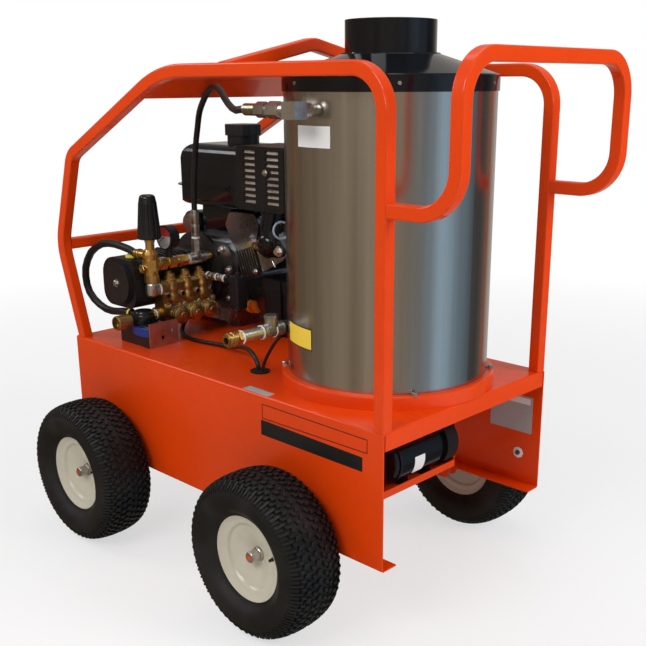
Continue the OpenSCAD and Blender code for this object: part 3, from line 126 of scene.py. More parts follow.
def lathe(bm, outline, place, steps=48, start=0.0, sweep=360.0):
    # outline is [(radius, height)] about the place's own Z axis; a part turn is closed
    full = sweep == 360
    rings = []
    count = steps if full else steps + 1
    for i in range(count):
        turn = start + sweep * i / steps
        rings.append([bm.verts.new(place @ Vector((*polar(r, turn), h)))
                      for r, h in outline])
    for i in range(steps):
        a, b = rings[i], rings[(i + 1) % count]
        for k in range(len(outline) - 1):
            ends = [a[k], b[k], b[k + 1], a[k + 1]]
            low, high = outline[k][0] == 0, outline[k + 1][0] == 0
            if low and high:
                continue
            if low:
                ends = [a[k], b[k + 1], a[k + 1]]
            elif high:
                ends = [a[k], b[k], a[k + 1]]
            bm.faces.new(ends)
    if not full:
        for ring in (rings[0], rings[-1]):
            bm.faces.new(ring[:-1])


def boxInto(bm, low, high, place):
    size = Vector(high) - Vector(low)
    mid = (Vector(high) + Vector(low)) / 2
    for v in bmesh.ops.create_cube(bm, size=1)["verts"]:
        v.co = place @ (mid + Vector((v.co.x * size.x, v.co.y * size.y, v.co.z * size.z)))


def rideOn(ob, body, finish):
    # a dressed piece that moves with a body
    if finish not in ob.data.materials[:]:
        ob.data.materials.append(finish)
    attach(ob, body)
    return ob


# hoses and cables, which lie where their solids do

hoseRoutes = {
    "bypassHose": {
        "node": "bypass_hose", "diameter": 18, "stiffness": "medium",
        "points": [
            (150, -176, 655), (144, -176, 655), (136, -177, 658), (125, -178, 661.5),
            (100, -181, 666), (76, -184, 669),
            (52, -187, 669), (28, -189, 665), (5, -191, 655), (-18, -192, 640),
            (-35, -193, 619), (-45, -194, 598), (-48, -194, 577), (-45, -194, 557),
            (-36, -194, 539), (-18, -193, 523), (5, -192, 512), (30, -191, 505),
            (55, -190, 504), (80, -190, 507), (104, -190, 511), (118, -190, 512),
            (128, -190, 512)],
    },
    "pressureHose": {
        "node": "pressure_hose", "diameter": 13.5, "stiffness": "stiff",
        "points": [
            (190, -32, 745), (190, -32, 752), (191, -33, 768), (194, -34, 793), (199, -36, 820),
            (206, -38, 850), (216, -42, 882), (227, -46, 912), (240, -51, 938),
            (256, -60, 958), (276, -72, 973), (300, -86, 985), (325, -100, 996),
            (352, -115, 1007), (380, -130, 1016), (408, -146, 1023), (432, -157, 1027),
            (455, -168, 1027), (478, -180, 1023), (500, -191, 1015), (522, -202, 1005),
            (546, -214, 996), (572, -227, 989), (598, -240, 986), (618, -251, 987.5),
            (634, -255, 988.7), (643, -255, 988.7)],
    },
    "engineCable": {
        "node": "engine_cable", "diameter": 10, "stiffness": "medium",
        "points": [
            (128, 20, 482), (128, 12, 482), (129, 2, 481), (134, -18, 477), (144, -38, 470),
            (158, -58, 462), (176, -76, 455), (198, -90, 452), (222, -99, 452),
            (250, -104, 452), (280, -102, 452), (310, -96, 452), (340, -92, 453),
            (370, -95, 456), (400, -103, 462), (430, -112, 469), (460, -122, 475),
            (488, -133, 478), (512, -143, 476), (530, -150, 470), (540, -154, 463),
            (543, -155, 457), (543, -155, 450)],
    },
    "sensorCable": {
        "node": "sensor_cable", "diameter": 7, "stiffness": "medium",
        "points": [
            (560, -157, 450), (560, -157, 456), (562, -155, 466), (565, -154, 474),
            (569, -153, 482), (574, -153, 490), (580, -153, 498), (586, -154, 505),
            (592, -155, 512), (598, -156, 518), (604, -157, 524), (610, -158, 529),
            (615, -159, 533), (619, -160, 536.5), (620, -160, 539),
            (620, -160, 541)],
    },
}


def makeHose(name, r):
    points = [at(*p) for p in r["points"]]
    curve = bpy.data.curves.new(name, "CURVE")
    curve.dimensions = "3D"
    curve.bevel_depth = r["diameter"] / 2000
    curve.bevel_resolution = 6
    curve.use_fill_caps = True
    spline = curve.splines.new("POLY")
    spline.points.add(len(points) - 1)
    for p, q in zip(spline.points, points):
        p.co = (*q, 1)
    ob = newObject(name, curve)
    bpy.context.view_layer.update()
    tube = bpy.data.meshes.new_from_object(
        ob.evaluated_get(bpy.context.evaluated_depsgraph_get()))
    bpy.data.objects.remove(ob)
    bpy.data.curves.remove(curve)
    tube.name = name
    length = sum((b - a).length for a, b in zip(points, points[1:]))
    return newObject(name, tube), points, length


hoses = {}
for name, r in hoseRoutes.items():
    ob, points, length = makeHose(name, r)
    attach(ob, "chassis")
    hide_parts(r["node"])
    hoses[name] = ob
print("cords laid")


# finishes

class Wire:
    # a socket on which sums can be written

    def __init__(self, tree, socket):
        self.tree, self.socket = tree, socket

    def __add__(self, other): return self.tree.sum("ADD", self, other)
    def __radd__(self, other): return self.tree.sum("ADD", other, self)
    def __sub__(self, other): return self.tree.sum("SUBTRACT", self, other)
    def __rsub__(self, other): return self.tree.sum("SUBTRACT", other, self)
    def __mul__(self, other): return self.tree.sum("MULTIPLY", self, other)
    def __rmul__(self, other): return self.tree.sum("MULTIPLY", other, self)
    def __truediv__(self, other): return self.tree.sum("DIVIDE", self, other)
    def __rtruediv__(self, other): return self.tree.sum("DIVIDE", other, self)
    def __gt__(self, other): return self.tree.sum("GREATER_THAN", self, other)
    def __lt__(self, other): return self.tree.sum("LESS_THAN", self, other)
    def size(self): return self.tree.sum("ABSOLUTE", self)


class Tree:
    # a node tree of a finish, of the world or of Geometry Nodes

    def __init__(self, nodeTree):
        self.nodeTree = nodeTree

    def plug(self, socket, value):
        if isinstance(value, Wire):
            self.nodeTree.links.new(value.socket, socket)
        elif isinstance(value, (tuple, list)) and len(value) == 3 and socket.type == "RGBA":
            socket.default_value = (*value, 1)
        else:
            socket.default_value = value

    def node(self, kind, settings=None, inputs=None, output=0):
        made = self.nodeTree.nodes.new(kind)
        for key, value in (settings or {}).items():
            if key == "stops":
                ramp = made.color_ramp
                while len(ramp.elements) < len(value):
                    ramp.elements.new(0.5)
                for element, (place, colour) in zip(ramp.elements, value):
                    element.position, element.color = place, (*colour, 1)
            else:
                setattr(made, key, value)
        for key, value in (inputs or {}).items():
            self.plug(made.inputs[key], value)
        return Wire(self, made.outputs[output])

    def sum(self, operation, a, b=0.0):
        return self.node("ShaderNodeMath", {"operation": operation}, {0: a, 1: b})

    def axes(self, vector=None):
        vector = vector or self.node("ShaderNodeTexCoord", output="Object")
        return [self.node("ShaderNodeSeparateXYZ", {}, {0: vector}, output=k) for k in range(3)]

    def vector(self, x, y, z):
        return self.node("ShaderNodeCombineXYZ", {}, {0: x, 1: y, 2: z})

    def fit(self, value, low, high, a=0.0, b=1.0):
        return self.node("ShaderNodeMapRange", {}, {
            0: value, 1: low, 2: high, 3: a, 4: b})

    def mix(self, amount, a, b):
        return self.node("ShaderNodeMix", {"data_type": "RGBA"}, {0: amount, 6: a, 7: b},
                         output=2)

    def blend(self, amount, a, b):
        # one shader or the other
        return self.node("ShaderNodeMixShader", {}, {0: amount, 1: a, 2: b})

    def ray(self, kind):
        return self.node("ShaderNodeLightPath", output="Is %s Ray" % kind)


class Finish(Tree):
    # a material and its main shader

    def __init__(self, name, **sockets):
        self.material = bpy.data.materials.new(name)
        self.material.use_nodes = True
        super().__init__(self.material.node_tree)
        self.shader = self.nodeTree.nodes["Principled BSDF"]
        self.set(**sockets)

    def set(self, **sockets):
        # names are written together, as in coatWeight
        for key, value in sockets.items():
            words = "".join(" " + c if c.isupper() else c for c in key).title()
            self.plug(self.shader.inputs[words.replace("I O R", "IOR")], value)

    def noise(self, scale, detail=2.0, vector=None):
        spot = vector or self.node("ShaderNodeTexCoord", output="Object")
        return self.node("ShaderNodeTexNoise", {}, {
            "Vector": spot, "Scale": scale, "Detail": detail, "Roughness": 0.5})

    def wear(self, grain=90):
        # where metal has tarnished, and its fine grain
        wide, fine = self.noise(9, 3), self.noise(grain, 4)
        return self.fit(wide + fine * 0.5, 0.7, 0.95), fine

    def bump(self, height, strength=0.2, distance=0.0005):
        self.set(normal=self.node("ShaderNodeBump", {}, {
            "Height": height, "Strength": strength, "Distance": distance}))


def shade(colour, k):
    return tuple(min(1.0, c * k) for c in colour)


paints = {
    "orange": {"colour": (0.79, 0.056, 0.002), "dust": (0.5, 0.055, 0.01), "rough": 0.3,
               "coat": 0.3, "specular": 0.2},
    "cream": {"colour": (0.63, 0.58, 0.46), "dust": (0.42, 0.38, 0.30), "rough": 0.3,
              "coat": 0.3, "specular": 0.5},
    "black": {"colour": (0.005, 0.006, 0.008), "dust": (0.016, 0.016, 0.016), "rough": 0.1,
              "coat": 0.2, "specular": 0.3},
    "heatBlack": {"colour": (0.01, 0.0095, 0.0095), "dust": (0.04, 0.035, 0.03),
                  "rough": 0.42, "coat": 0.0, "specular": 0.35},
}


def paintFinish(name, p):
    f = Finish(name, coatWeight=p["coat"], coatRoughness=0.07, specularIORLevel=p["specular"])
    broad = f.noise(4, 3)
    fine = f.noise(38, 4)
    grime = f.fit(fine * broad, 0.26, 0.42)
    tone = f.mix(f.fit(broad, 0.35, 0.65), shade(p["colour"], 0.93), p["colour"])
    f.set(baseColor=f.mix(grime * 0.16, tone, p["dust"]),
          roughness=p["rough"] + grime * 0.12)
    f.bump(f.noise(420, 1), 0.12, 0.0003)
    return f.material


orange = paintFinish("orangePaint", paints["orange"])
cream = paintFinish("creamPaint", paints["cream"])
blackPaint = paintFinish("blackPaint", paints["black"])
heatBlack = paintFinish("heatBlack", paints["heatBlack"])


def metalFinish(name, colour, rough, tarnish, grain, depth):
    f = Finish(name, metallic=1.0)
    spots, fine = f.wear(grain)
    f.set(baseColor=f.mix(spots, colour, tarnish), roughness=rough + fine * 0.22 - 0.08)
    f.bump(fine, depth, 0.0004)
    return f.material


metals = {
    # colour, roughness, tarnish, and the grain's scale and depth
    "brass": ((0.52, 0.345, 0.125), 0.31, (0.27, 0.165, 0.065), 90, 0.3),
    "zincSteel": ((0.62, 0.61, 0.57), 0.3, (0.42, 0.4, 0.36), 90, 0.15),
    "turnedSteel": ((0.6, 0.59, 0.57), 0.22, (0.45, 0.43, 0.4), 90, 0.15),
    "coilSteel": ((0.3, 0.28, 0.26), 0.5, (0.16, 0.12, 0.1), 90, 0.15),
    "castAluminium": ((0.36, 0.37, 0.39), 0.28, (0.13, 0.135, 0.145), 120, 0.14),
    "bladeSteel": ((0.5, 0.47, 0.43), 0.42, (0.28, 0.26, 0.24), 90, 0.15),
}
brass, zinc, steel, coilSteel, castAluminium, bladeSteel = (
    metalFinish(name, *m) for name, m in metals.items())

pumpPaint = {"colour": (0.01, 0.0095, 0.009), "worn": (0.05, 0.042, 0.036), "rough": 0.36,
             "sand": 900, "depth": 0.45}


def pumpFinish(p):
    f = Finish("pumpBlack", specularIORLevel=0.4)
    sand = f.noise(p["sand"], 2)
    worn = f.fit(f.noise(26, 5), 0.5, 0.72)
    f.set(baseColor=f.mix(worn * 0.35, p["colour"], p["worn"]),
          roughness=p["rough"] + sand * 0.15)
    f.bump(sand, p["depth"], 0.0004)
    return f.material


pumpBlack = pumpFinish(pumpPaint)

boiler = {"foot": (770.4, 0, 0), "radius": 204.5, "ringTop": 475, "ringBolts": 211.5,
          "capScrews": 207.5, "capScrewHeight": 1034}
# rolled stainless sheet, its grain running round the drum; the broad vertical bands of darker
# and lighter colour round it are partly real smears and partly painted reflection
sheet = {"dark": (0.46, 0.43, 0.385), "light": (0.56, 0.54, 0.5), "rough": 0.17,
         "grain": 900, "smearAndSheenBands": 7}


def jacketFinish(s, b):
    f = Finish("stainlessSheet", metallic=1.0)
    x, y, z = f.axes()
    angle = f.sum("ARCTAN2", y, x - at(*b["foot"]).x)
    grain = f.noise(1.0, 3, f.vector(angle * 0.6, 0.0, z * s["grain"]))
    # vertical bands round the drum, set into the base colour: painted reflection mixed with
    # real smears
    smearAndSheen = f.noise(1.0, 2, f.vector(angle * s["smearAndSheenBands"], 0.0, z * 0.9))
    f.set(baseColor=f.mix(f.fit(smearAndSheen, 0.35, 0.65), s["dark"], s["light"]),
          roughness=s["rough"] + grain * 0.12)
    f.bump(grain * 0.3 + smearAndSheen * 1.2, 0.2, 0.0006)
    return f.material


stainless = jacketFinish(sheet, boiler)


def plasticFinish(name, colour, rough, sand=500, depth=0.2, bright=0.06, specular=0.4):
    f = Finish(name, specularIORLevel=specular)
    fine = f.noise(sand, 2)
    wide = f.noise(12, 3)
    pale = tuple(min(1, c + bright) for c in colour)
    f.set(baseColor=f.mix(f.fit(wide, 0.4, 0.75) * 0.5, colour, pale),
          roughness=rough + fine * 0.12)
    f.bump(fine, depth, 0.0003)
    return f.material


blackPlastic = plasticFinish("blackPlastic", (0.008, 0.008, 0.009), 0.34, bright=0.01)
knobPlastic = plasticFinish("knobPlastic", (0.008, 0.008, 0.01), 0.14, depth=0.05,
                            bright=0.008, specular=0.5)
hoseRubber = plasticFinish("hoseRubber", (0.008, 0.008, 0.008), 0.36, 260, 0.3, 0.012)
tankPlastic = plasticFinish("tankPlastic", (0.5, 0.49, 0.44), 0.4, bright=0.05)
dipstickOrange = plasticFinish("dipstickOrange", (0.78, 0.25, 0.02), 0.3)
yellowPlastic = plasticFinish("yellowPlastic", (0.78, 0.66, 0.08), 0.35)
bluePlastic = plasticFinish("bluePlastic", (0.012, 0.035, 0.24), 0.35, bright=0.01)
blueSleeve = plasticFinish("blueSleeve", (0.3, 0.42, 0.5), 0.4)
whiteTape = plasticFinish("whiteTape", (0.82, 0.82, 0.8), 0.6, 900, 0.3, 0.05)
redPaint = plasticFinish("redDial", (0.5, 0.03, 0.03), 0.35)
whitePaper = plasticFinish("whiteLabel", (0.8, 0.8, 0.78), 0.35, 300, 0.05, 0.04)
yellowPaper = plasticFinish("yellowLabel", (0.85, 0.6, 0.05), 0.35, 300, 0.05, 0.02)
silverPaper = plasticFinish("silverLabel", (0.4, 0.4, 0.4), 0.3, 300, 0.05, 0.03)
darkStripe = plasticFinish("blackStripe", (0.01, 0.01, 0.01), 0.3, 300, 0.05, 0.01)


rubber = {"colour": (0.0065, 0.0063, 0.006), "dust": (0.028, 0.026, 0.024), "rough": 0.46,
          "grain": 700, "depth": 0.4}


def tyreFinish(t):
    f = Finish("tyreRubber", specularIORLevel=0.35)
    fine, wide = f.noise(t["grain"], 3), f.noise(14, 4)
    dust = f.fit(wide + fine * 0.3, 0.55, 0.85)
    f.set(baseColor=f.mix(dust * 0.5, t["colour"], t["dust"]),
          roughness=t["rough"] + fine * 0.2)
    f.bump(fine, t["depth"], 0.0005)
    return f.material


tyreRubber = tyreFinish(rubber)


def dress(node, finish):
    # one of the frame's own meshes takes a finish
    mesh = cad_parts[node].data
    mesh.materials.clear()
    mesh.materials.append(finish)


nodeFinishes = {
    orange: ["deck_plate", "side_panel_left", "side_panel_right", "burner_pan",
             "roll_frame_left", "roll_frame_right", "front_crossbar", "lifting_bail",
             "push_handle", "top_panel", "boiler_ring"],
    tyreRubber: ["tyre_front_left", "tyre_front_right", "tyre_rear_left",
                 "tyre_rear_right"],
    cream: ["rim_front_left", "rim_front_right", "rim_rear_left", "rim_rear_right"],
    stainless: ["boiler_jacket"],
    blackPaint: ["boiler_cap", "engine_fuel_tank", "burner_motor", "recoil_housing"],
    coilSteel: ["heating_coil"],
    zinc: ["coil_inlet", "outlet_tee"],
    steel: ["drive_shaft"],
    brass: ["outlet_coupler", "coupler_sleeve", "pump_head", "unloader_body",
            "outlet_line", "inlet_swivel"],
    heatBlack: ["burner_housing", "muffler", "muffler_guard"],
    tankPlastic: ["burner_fuel_tank"],
    blackPlastic: ["filler_cap", "battery", "fuel_cap", "air_cleaner", "starter_grip",
                   "throttle_lever", "pressure_switch", "pressure_gauge",
                   "inlet_strainer"],
    knobPlastic: ["unloader_knob"],
    castAluminium: ["engine_block", "crankcase_cover", "cylinder_head"],
    dipstickOrange: ["oil_dipstick"],
    pumpBlack: ["pump_flange", "pump_crankcase"],
    hoseRubber: ["cable_grommet"],
}
for finish, nodes in nodeFinishes.items():
    for node in nodes:
        dress(node, finish)
for ob in hoses.values():
    ob.data.materials.append(hoseRubber)
print("finishes made")


# repeats, made with Geometry Nodes

def newTree(name, sockets):
    # an empty tree and its named inputs
    group = bpy.data.node_groups.new(name, "GeometryNodeTree")
    group.interface.new_socket("Geometry", in_out="INPUT", socket_type="NodeSocketGeometry")
    for label, kind, value in sockets:
        made = group.interface.new_socket(label, in_out="INPUT", socket_type=kind)
        if value is not None:
            made.default_value = value
    group.interface.new_socket("Geometry", in_out="OUTPUT", socket_type="NodeSocketGeometry")
    t = Tree(group)
    given = {s.name: Wire(t, s) for s in group.nodes.new("NodeGroupInput").outputs if s.name}
    return t, given


def endTree(t, copies, material):
    # real meshes with their finish come out
    real = t.node("GeometryNodeRealizeInstances", {}, {0: copies})
    dressed = t.node("GeometryNodeSetMaterial", {}, {"Geometry": real, "Material": material})
    t.plug(t.nodeTree.nodes.new("NodeGroupOutput").inputs[0], dressed)
    return t.nodeTree


def runTree(name, base, tree, values):
    # the tree's result as a plain mesh, its inputs set by their identifiers
    mod = base.modifiers.new("repeat", "NODES")
    mod.node_group = tree
    ids = {s.name: s.identifier for s in tree.interface.items_tree
           if s.item_type == "SOCKET" and s.in_out == "INPUT"}
    for label, value in values.items():
        mod[ids[label]] = value
    bpy.context.view_layer.update()
    made = base.evaluated_get(bpy.context.evaluated_depsgraph_get())
    mesh = bpy.data.meshes.new_from_object(made)
    mesh.name = name
    base.modifiers.remove(mod)
    old = base.data
    bpy.data.objects.remove(base)
    if old.users == 0:
        bpy.data.meshes.remove(old)
    return newObject(name, mesh)


def spinTree():
    # copies of one sector round the Y axis
    t, given = newTree("roundTheAxle", [
        ("Count", "NodeSocketInt", 60), ("Material", "NodeSocketMaterial", None)])
    line = t.node("GeometryNodeMeshLine", {}, {"Offset": (0, 0, 0), "Count": given["Count"]})
    share = t.node("GeometryNodeInputIndex") / given["Count"]
    turn = t.vector(0.0, share * (2 * math.pi), 0.0)
    copies = t.node("GeometryNodeInstanceOnPoints", {}, {
        "Points": line, "Instance": given["Geometry"], "Rotation": turn})
    return endTree(t, copies, given["Material"])


def boltTree():
    # hexagon heads on washers at a mesh's points, each along its point's "way"
    t, given = newTree("hexagonHeads", [
        ("Across Flats", "NodeSocketFloat", 0.01), ("Head Height", "NodeSocketFloat", 0.006),
        ("Washer Radius", "NodeSocketFloat", 0.009),
        ("Washer Height", "NodeSocketFloat", 0.0015),
        ("Sides", "NodeSocketInt", 6), ("Material", "NodeSocketMaterial", None)])

    def drum(sides, radius, depth, topShare):
        return t.node("GeometryNodeMeshCone", {}, {
            "Vertices": sides, "Radius Bottom": radius, "Radius Top": radius * topShare,
            "Depth": depth})

    def lifted(geometry, height):
        return t.node("GeometryNodeTransform", {}, {
            "Geometry": geometry, "Translation": t.vector(0.0, 0.0, height)})

    radius, high = given["Across Flats"] * 0.57, given["Head Height"]
    foot = given["Washer Height"]
    washer = drum(24, given["Washer Radius"], foot, 0.96)
    head = lifted(drum(given["Sides"], radius, high * 0.8, 1.0), foot)
    crown = lifted(drum(given["Sides"], radius, high * 0.2, 0.84), foot + high * 0.8)
    whole = t.node("GeometryNodeJoinGeometry")
    for part in (washer, head, crown):
        t.plug(whole.socket.node.inputs[0], part)
    way = t.node("GeometryNodeInputNamedAttribute", {"data_type": "FLOAT_VECTOR"},
                 {"Name": "way"}, output="Attribute")
    face = t.node("FunctionNodeAlignRotationToVector", {"axis": "Z"}, {"Vector": way})
    points = t.node("GeometryNodeMeshToPoints", {}, {"Mesh": given["Geometry"]})
    copies = t.node("GeometryNodeInstanceOnPoints", {}, {
        "Points": points, "Instance": whole, "Rotation": face})
    return endTree(t, copies, given["Material"])


spinAround = spinTree()
hexHeads = boltTree()


def bolts(name, finish, flats, height, washer, sides, thick, places):
    # places are (x, y, z, way) in mm from the deck's front end; sizes in mm
    bm = bmesh.new()
    way = bm.verts.layers.float_vector.new("way")
    for x, y, z, w in places:
        v = bm.verts.new(at(x, y, z))
        v[way] = Vector(w).normalized()
    base = finishMesh(name + "Points", bm, 0, merge=False)
    ob = runTree(name, base, hexHeads, {
        "Across Flats": flats / 1000, "Head Height": height / 1000,
        "Washer Radius": washer / 2000, "Washer Height": thick / 1000, "Sides": sides,
        "Material": finish})
    return rideOn(ob, "chassis", finish)


# wheels

wheels = {
    "places": {"front_left": (148.6, 1), "front_right": (148.6, -1),
               "rear_left": (749.5, 1), "rear_right": (749.5, -1)},
    "height": 165, "track": 336.05, "pitches": 58,
    "drawnPitch": 19.2,  # what the blocks below are drawn for
    # each block's corners along the tread and from its middle, one side
    "chevrons": [
        [(1.5, 2.2), (11.5, 7.0), (11.5, 15.0), (1.5, 10.2)],
        [(8.5, 17.6), (17.5, 13.4), (17.5, 22.6), (8.5, 26.4)],
        [(-2.0, 27.6), (7.4, 31.4), (7.4, 41.4), (-2.0, 37.8)],
        [(9.6, 41.8), (17.0, 38.4), (17.0, 47.6), (9.6, 50.4)],
        [(0.6, 46.5), (7.6, 46.5), (6.8, 62.6), (1.4, 62.6)],
        [(10.2, 53.5), (17.0, 53.5), (16.2, 63.2), (11.0, 63.2)],
    ],
    # how far each ring of a block shrinks and sinks, foot first
    "blockRings": ((1.0, 5.8), (0.97, 0.5), (0.86, 0.0)),
    # radius and distance from the middle: crown, shoulder and side wall
    "crown": [(165, 0), (164.6, 14), (163.2, 30), (160, 45), (154.6, 55.4), (146, 61.5),
              (137, 64)],
    "grooveDepth": 5.2, "edge": 50, "edgeLean": 0.35,
    "shoulder": [(143.5, 60.6), (138.5, 62.4)],
    "side": [(135, 64.2), (125, 65.4), (116, 64.6), (108, 61.6), (101, 56), (96, 51),
             (93.4, 48.6), (90, 46.2), (86.6, 44.6), (86.2, 40)],
}


def crownAt(y, steps):
    y = abs(y)
    for (r0, y0), (r1, y1) in zip(steps, steps[1:]):
        if y <= y1:
            return r0 + (r1 - r0) * (y - y0) / (y1 - y0)
    return steps[-1][0]


def treadSector(bm, w):
    # one pitch of the turf tread: quads in (arc, side) coordinates, both in mm
    pitch = 2 * math.pi * w["height"] / w["pitches"]
    k = pitch / w["drawnPitch"]
    blocks = [[((0 if side > 0 else pitch / 2) + s * k, side * y) for s, y in c]
              for side in (1, -1) for c in w["chevrons"]]
    for quad in blocks:
        midS = sum(s for s, y in quad) / 4
        midY = sum(y for s, y in quad) / 4
        rings = []
        for shrink, drop in w["blockRings"]:
            ring = []
            for s, y in quad:
                s2, y2 = midS + (s - midS) * shrink, midY + (y - midY) * shrink
                r = crownAt(y2, w["crown"]) - drop
                a = s2 / w["height"]
                ring.append(bm.verts.new(Vector((
                    r * math.sin(a), y2, r * math.cos(a))) / 1000))
            rings.append(ring)
        skin(bm, rings, foot=False)


def makeTyre(w):
    base = bmesh.new()
    treadSector(base, w)
    bmesh.ops.recalc_face_normals(base, faces=base.faces)
    sector = finishMesh("treadSector", base, 0, merge=False)
    tread = runTree("tread", sector, spinAround, {
        "Count": w["pitches"], "Material": tyreRubber})
    d = w["grooveDepth"]
    outer = [(r - d, y - d * (w["edgeLean"] if y > w["edge"] else 0.0))
             for r, y in w["crown"][:-2]]
    half = outer + w["shoulder"] + w["side"]
    profile = [(r, -y) for r, y in reversed(half)] + half[1:]
    bm = bmesh.new()
    lathe(bm, [(r / 1000, y / 1000) for r, y in profile], basis((0, 1, 0)), 120)
    bm.from_mesh(tread.data)
    bpy.data.objects.remove(tread)
    return meshOf("tyre", bm, 32)


def placed(mesh, name, corner, w):
    # a wheel's piece at its corner; the right side's pieces are mirrored
    x, side = w["places"][corner]
    copy = mesh.copy()
    m = Matrix.Translation(at(x, side * w["track"], w["height"]))
    if side < 0:
        m = m @ Matrix.Scale(-1, 4, Vector((0, 1, 0)))
    copy.transform(m)
    if side < 0:
        copy.flip_normals()
    copy.materials.clear()
    return newObject(name + corner.title().replace("_", ""), copy)


tyreMesh = makeTyre(wheels)
for corner in wheels["places"]:
    ob = placed(tyreMesh, "tyre", corner, wheels)
    rideOn(ob, "wheel_" + corner, tyreRubber)
    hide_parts("tyre_" + corner)
print("tyres made")

rims = {
    # radius and distance from the wheel's middle, from the bead seat to the hub
    "dish": [(76.5, 30.0), (78.5, 36.5), (83, 40.4), (87.5, 43.2), (90.6, 45.2),
             (92.4, 46.3), (91.6, 46.5), (89, 45.6), (85.6, 43.6), (80.4, 39.4),
             (76.4, 36.8), (72.6, 35.6), (69.4, 35.0), (67.2, 33.4), (65.6, 30.2),
             (63.8, 28.6), (60.2, 27.8), (48, 24.0), (34, 18.6), (22, 14.4), (16.2, 12.6),
             (13.6, 12.2)],
    "barrel": (76.5, 30), "hubSleeve": (13.6, 12.2),  # radius and half length
    "hubBore": 9.55, "hubRadius": 13.5, "hubOut": 18, "hubIn": 46, "hubEdge": 1.2,
    "valveRadius": 68, "valveAngle": 17,
    "valve": [(0, 44), (2.2, 44), (3, 43.2), (3, 38.5), (2.6, 38), (3.6, 37.2), (5.2, 31),
              (6.2, 29), (0, 29)],
}


def makeRim(r):
    bm = bmesh.new()
    spin = basis((0, 1, 0))
    for flip in (1, -1):
        place = spin @ Matrix.Scale(flip, 4, Vector((0, 0, 1)))
        outline = [(a / 1000, h / 1000) for a, h in r["dish"]]
        lathe(bm, outline, place, 96)
    for radius, half in (r["barrel"], r["hubSleeve"]):
        lathe(bm, [(radius / 1000, -half / 1000), (radius / 1000, half / 1000)], spin, 96)
    hub = bmesh.new()
    b, o = r["hubBore"] / 1000, r["hubRadius"] / 1000
    out, back, edge = r["hubOut"] / 1000, -r["hubIn"] / 1000, r["hubEdge"] / 1000
    lathe(hub, [(b, back), (o, back), (o, out - edge), (o - edge, out), (b, out), (b, back)],
          spin, 64)
    valve = bmesh.new()
    x, z = polar(r["valveRadius"], r["valveAngle"])
    foot = Vector((x, 0, z)) / 1000
    lathe(valve, [(d / 1000, h / 1000) for d, h in r["valve"]],
          Matrix.Translation(foot) @ spin, 24)
    return meshOf("rim", bm, 180), meshOf("hub", hub, 30), meshOf("valve", valve, 180)


rimMesh, hubMesh, valveMesh = makeRim(rims)
for corner in wheels["places"]:
    for mesh, name, finish in ((rimMesh, "rim", cream), (hubMesh, "hub", zinc),
                               (valveMesh, "valve", blackPlastic)):
        ob = placed(mesh, name, corner, wheels)
        rideOn(ob, "wheel_" + corner, finish)
        if name == "rim":
            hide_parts("rim_" + corner)
print("rims made")


# bare labels and stripes

def flatPatch(name, corners, lift, finish):
    # corners in mm, anticlockwise seen from outside; the patch stands lift mm proud
    bm = bmesh.new()
    points = [at(*c) for c in corners]
    normal = (points[1] - points[0]).cross(points[2] - points[1]).normalized()
    skin(bm, [[bm.verts.new(p + normal * k / 1000) for p in points] for k in (0, lift)])
    return rideOn(finishMesh(name, bm, 0, merge=False), "chassis", finish)


def drumPatch(name, place, radius, d, finish, steps=16):
    # a patch laid round a drum; angles in degrees from the handle's side
    bm = bmesh.new()
    low, high = d["heights"]
    (first, last), foot, face = d["angles"], radius + 0.05, radius + d["lift"]
    rings = []
    for i in range(steps + 1):
        a = first + (last - first) * i / steps
        rings.append([bm.verts.new(place @ (Vector((*polar(r, a), h)) / 1000))
                      for r, h in ((foot, low), (foot, high), (face, high), (face, low))])
    skin(bm, rings)
    return rideOn(finishMesh(name, bm, 40), "chassis", finish)


labels = {
    "sideStripe": {"x": (668, 939), "top": (396, 391), "foot": (364.5, 363)},
    "sideOutline": {"x": (672, 951), "top": (430, 428), "foot": (399, 401), "line": 1.6},
    "whiteLabel": {"angles": (-104, -80.3), "heights": (923, 961), "lift": 0.35},
    "yellowLabelEdge": {"angles": (-121, -94), "heights": (541, 584), "lift": 0.3,
                        "line": 2.2},
    "yellowLabel": {"lift": 0.45},
    "silverLabel": {"corners": [(611, -258), (686, -259), (685, -239), (610, -236)],
                    "height": 447, "lift": 0.3},
    "ratingPlate": {"x": (859, 967), "z": (297, 380), "y": 258.1, "lift": 0.3},
    "ratingStrip": {"x": (905, 961), "z": (362, 376), "y": 257.8, "lift": 0.2},
    "motorSticker": {"angles": (-36, 8), "heights": (14, 46), "lift": 0.35},
    "sideFace": -261.3, "sideLift": 0.25,
}
motor = {"axis": (838, 0, 305), "radius": 50}


def sidePanelLabels(s):
    for side, tail in ((1, "Right"), (-1, "Left")):
        y = s["sideFace"] * side

        def patch(name, x0, x1, z0, z1, z2, z3):
            corners = [(x0, y, z0), (x1, y, z1), (x1, y, z2), (x0, y, z3)]
            flatPatch(name, corners if side > 0 else corners[::-1], s["sideLift"], darkStripe)

        (x0, x1), t, f = (s["sideStripe"][k] for k in ("x", "top", "foot"))
        patch("sideStripe" + tail, x0, x1, f[0], f[1], t[1], t[0])
        (x0, x1), t, f = (s["sideOutline"][k] for k in ("x", "top", "foot"))
        w = s["sideOutline"]["line"]
        for k, q in enumerate((
                (x0, x1, t[0] - w, t[1] - w, t[1], t[0]),
                (x0, x1, f[0], f[1], f[1] + w, f[0] + w),
                (x0, x0 + w, f[0] + w, f[0] + w, t[0] - w, t[0] - w),
                (x1 - w, x1, f[1] + w, f[1] + w, t[1] - w, t[1] - w))):
            patch("sideOutline%s%d" % (tail, k), *q)


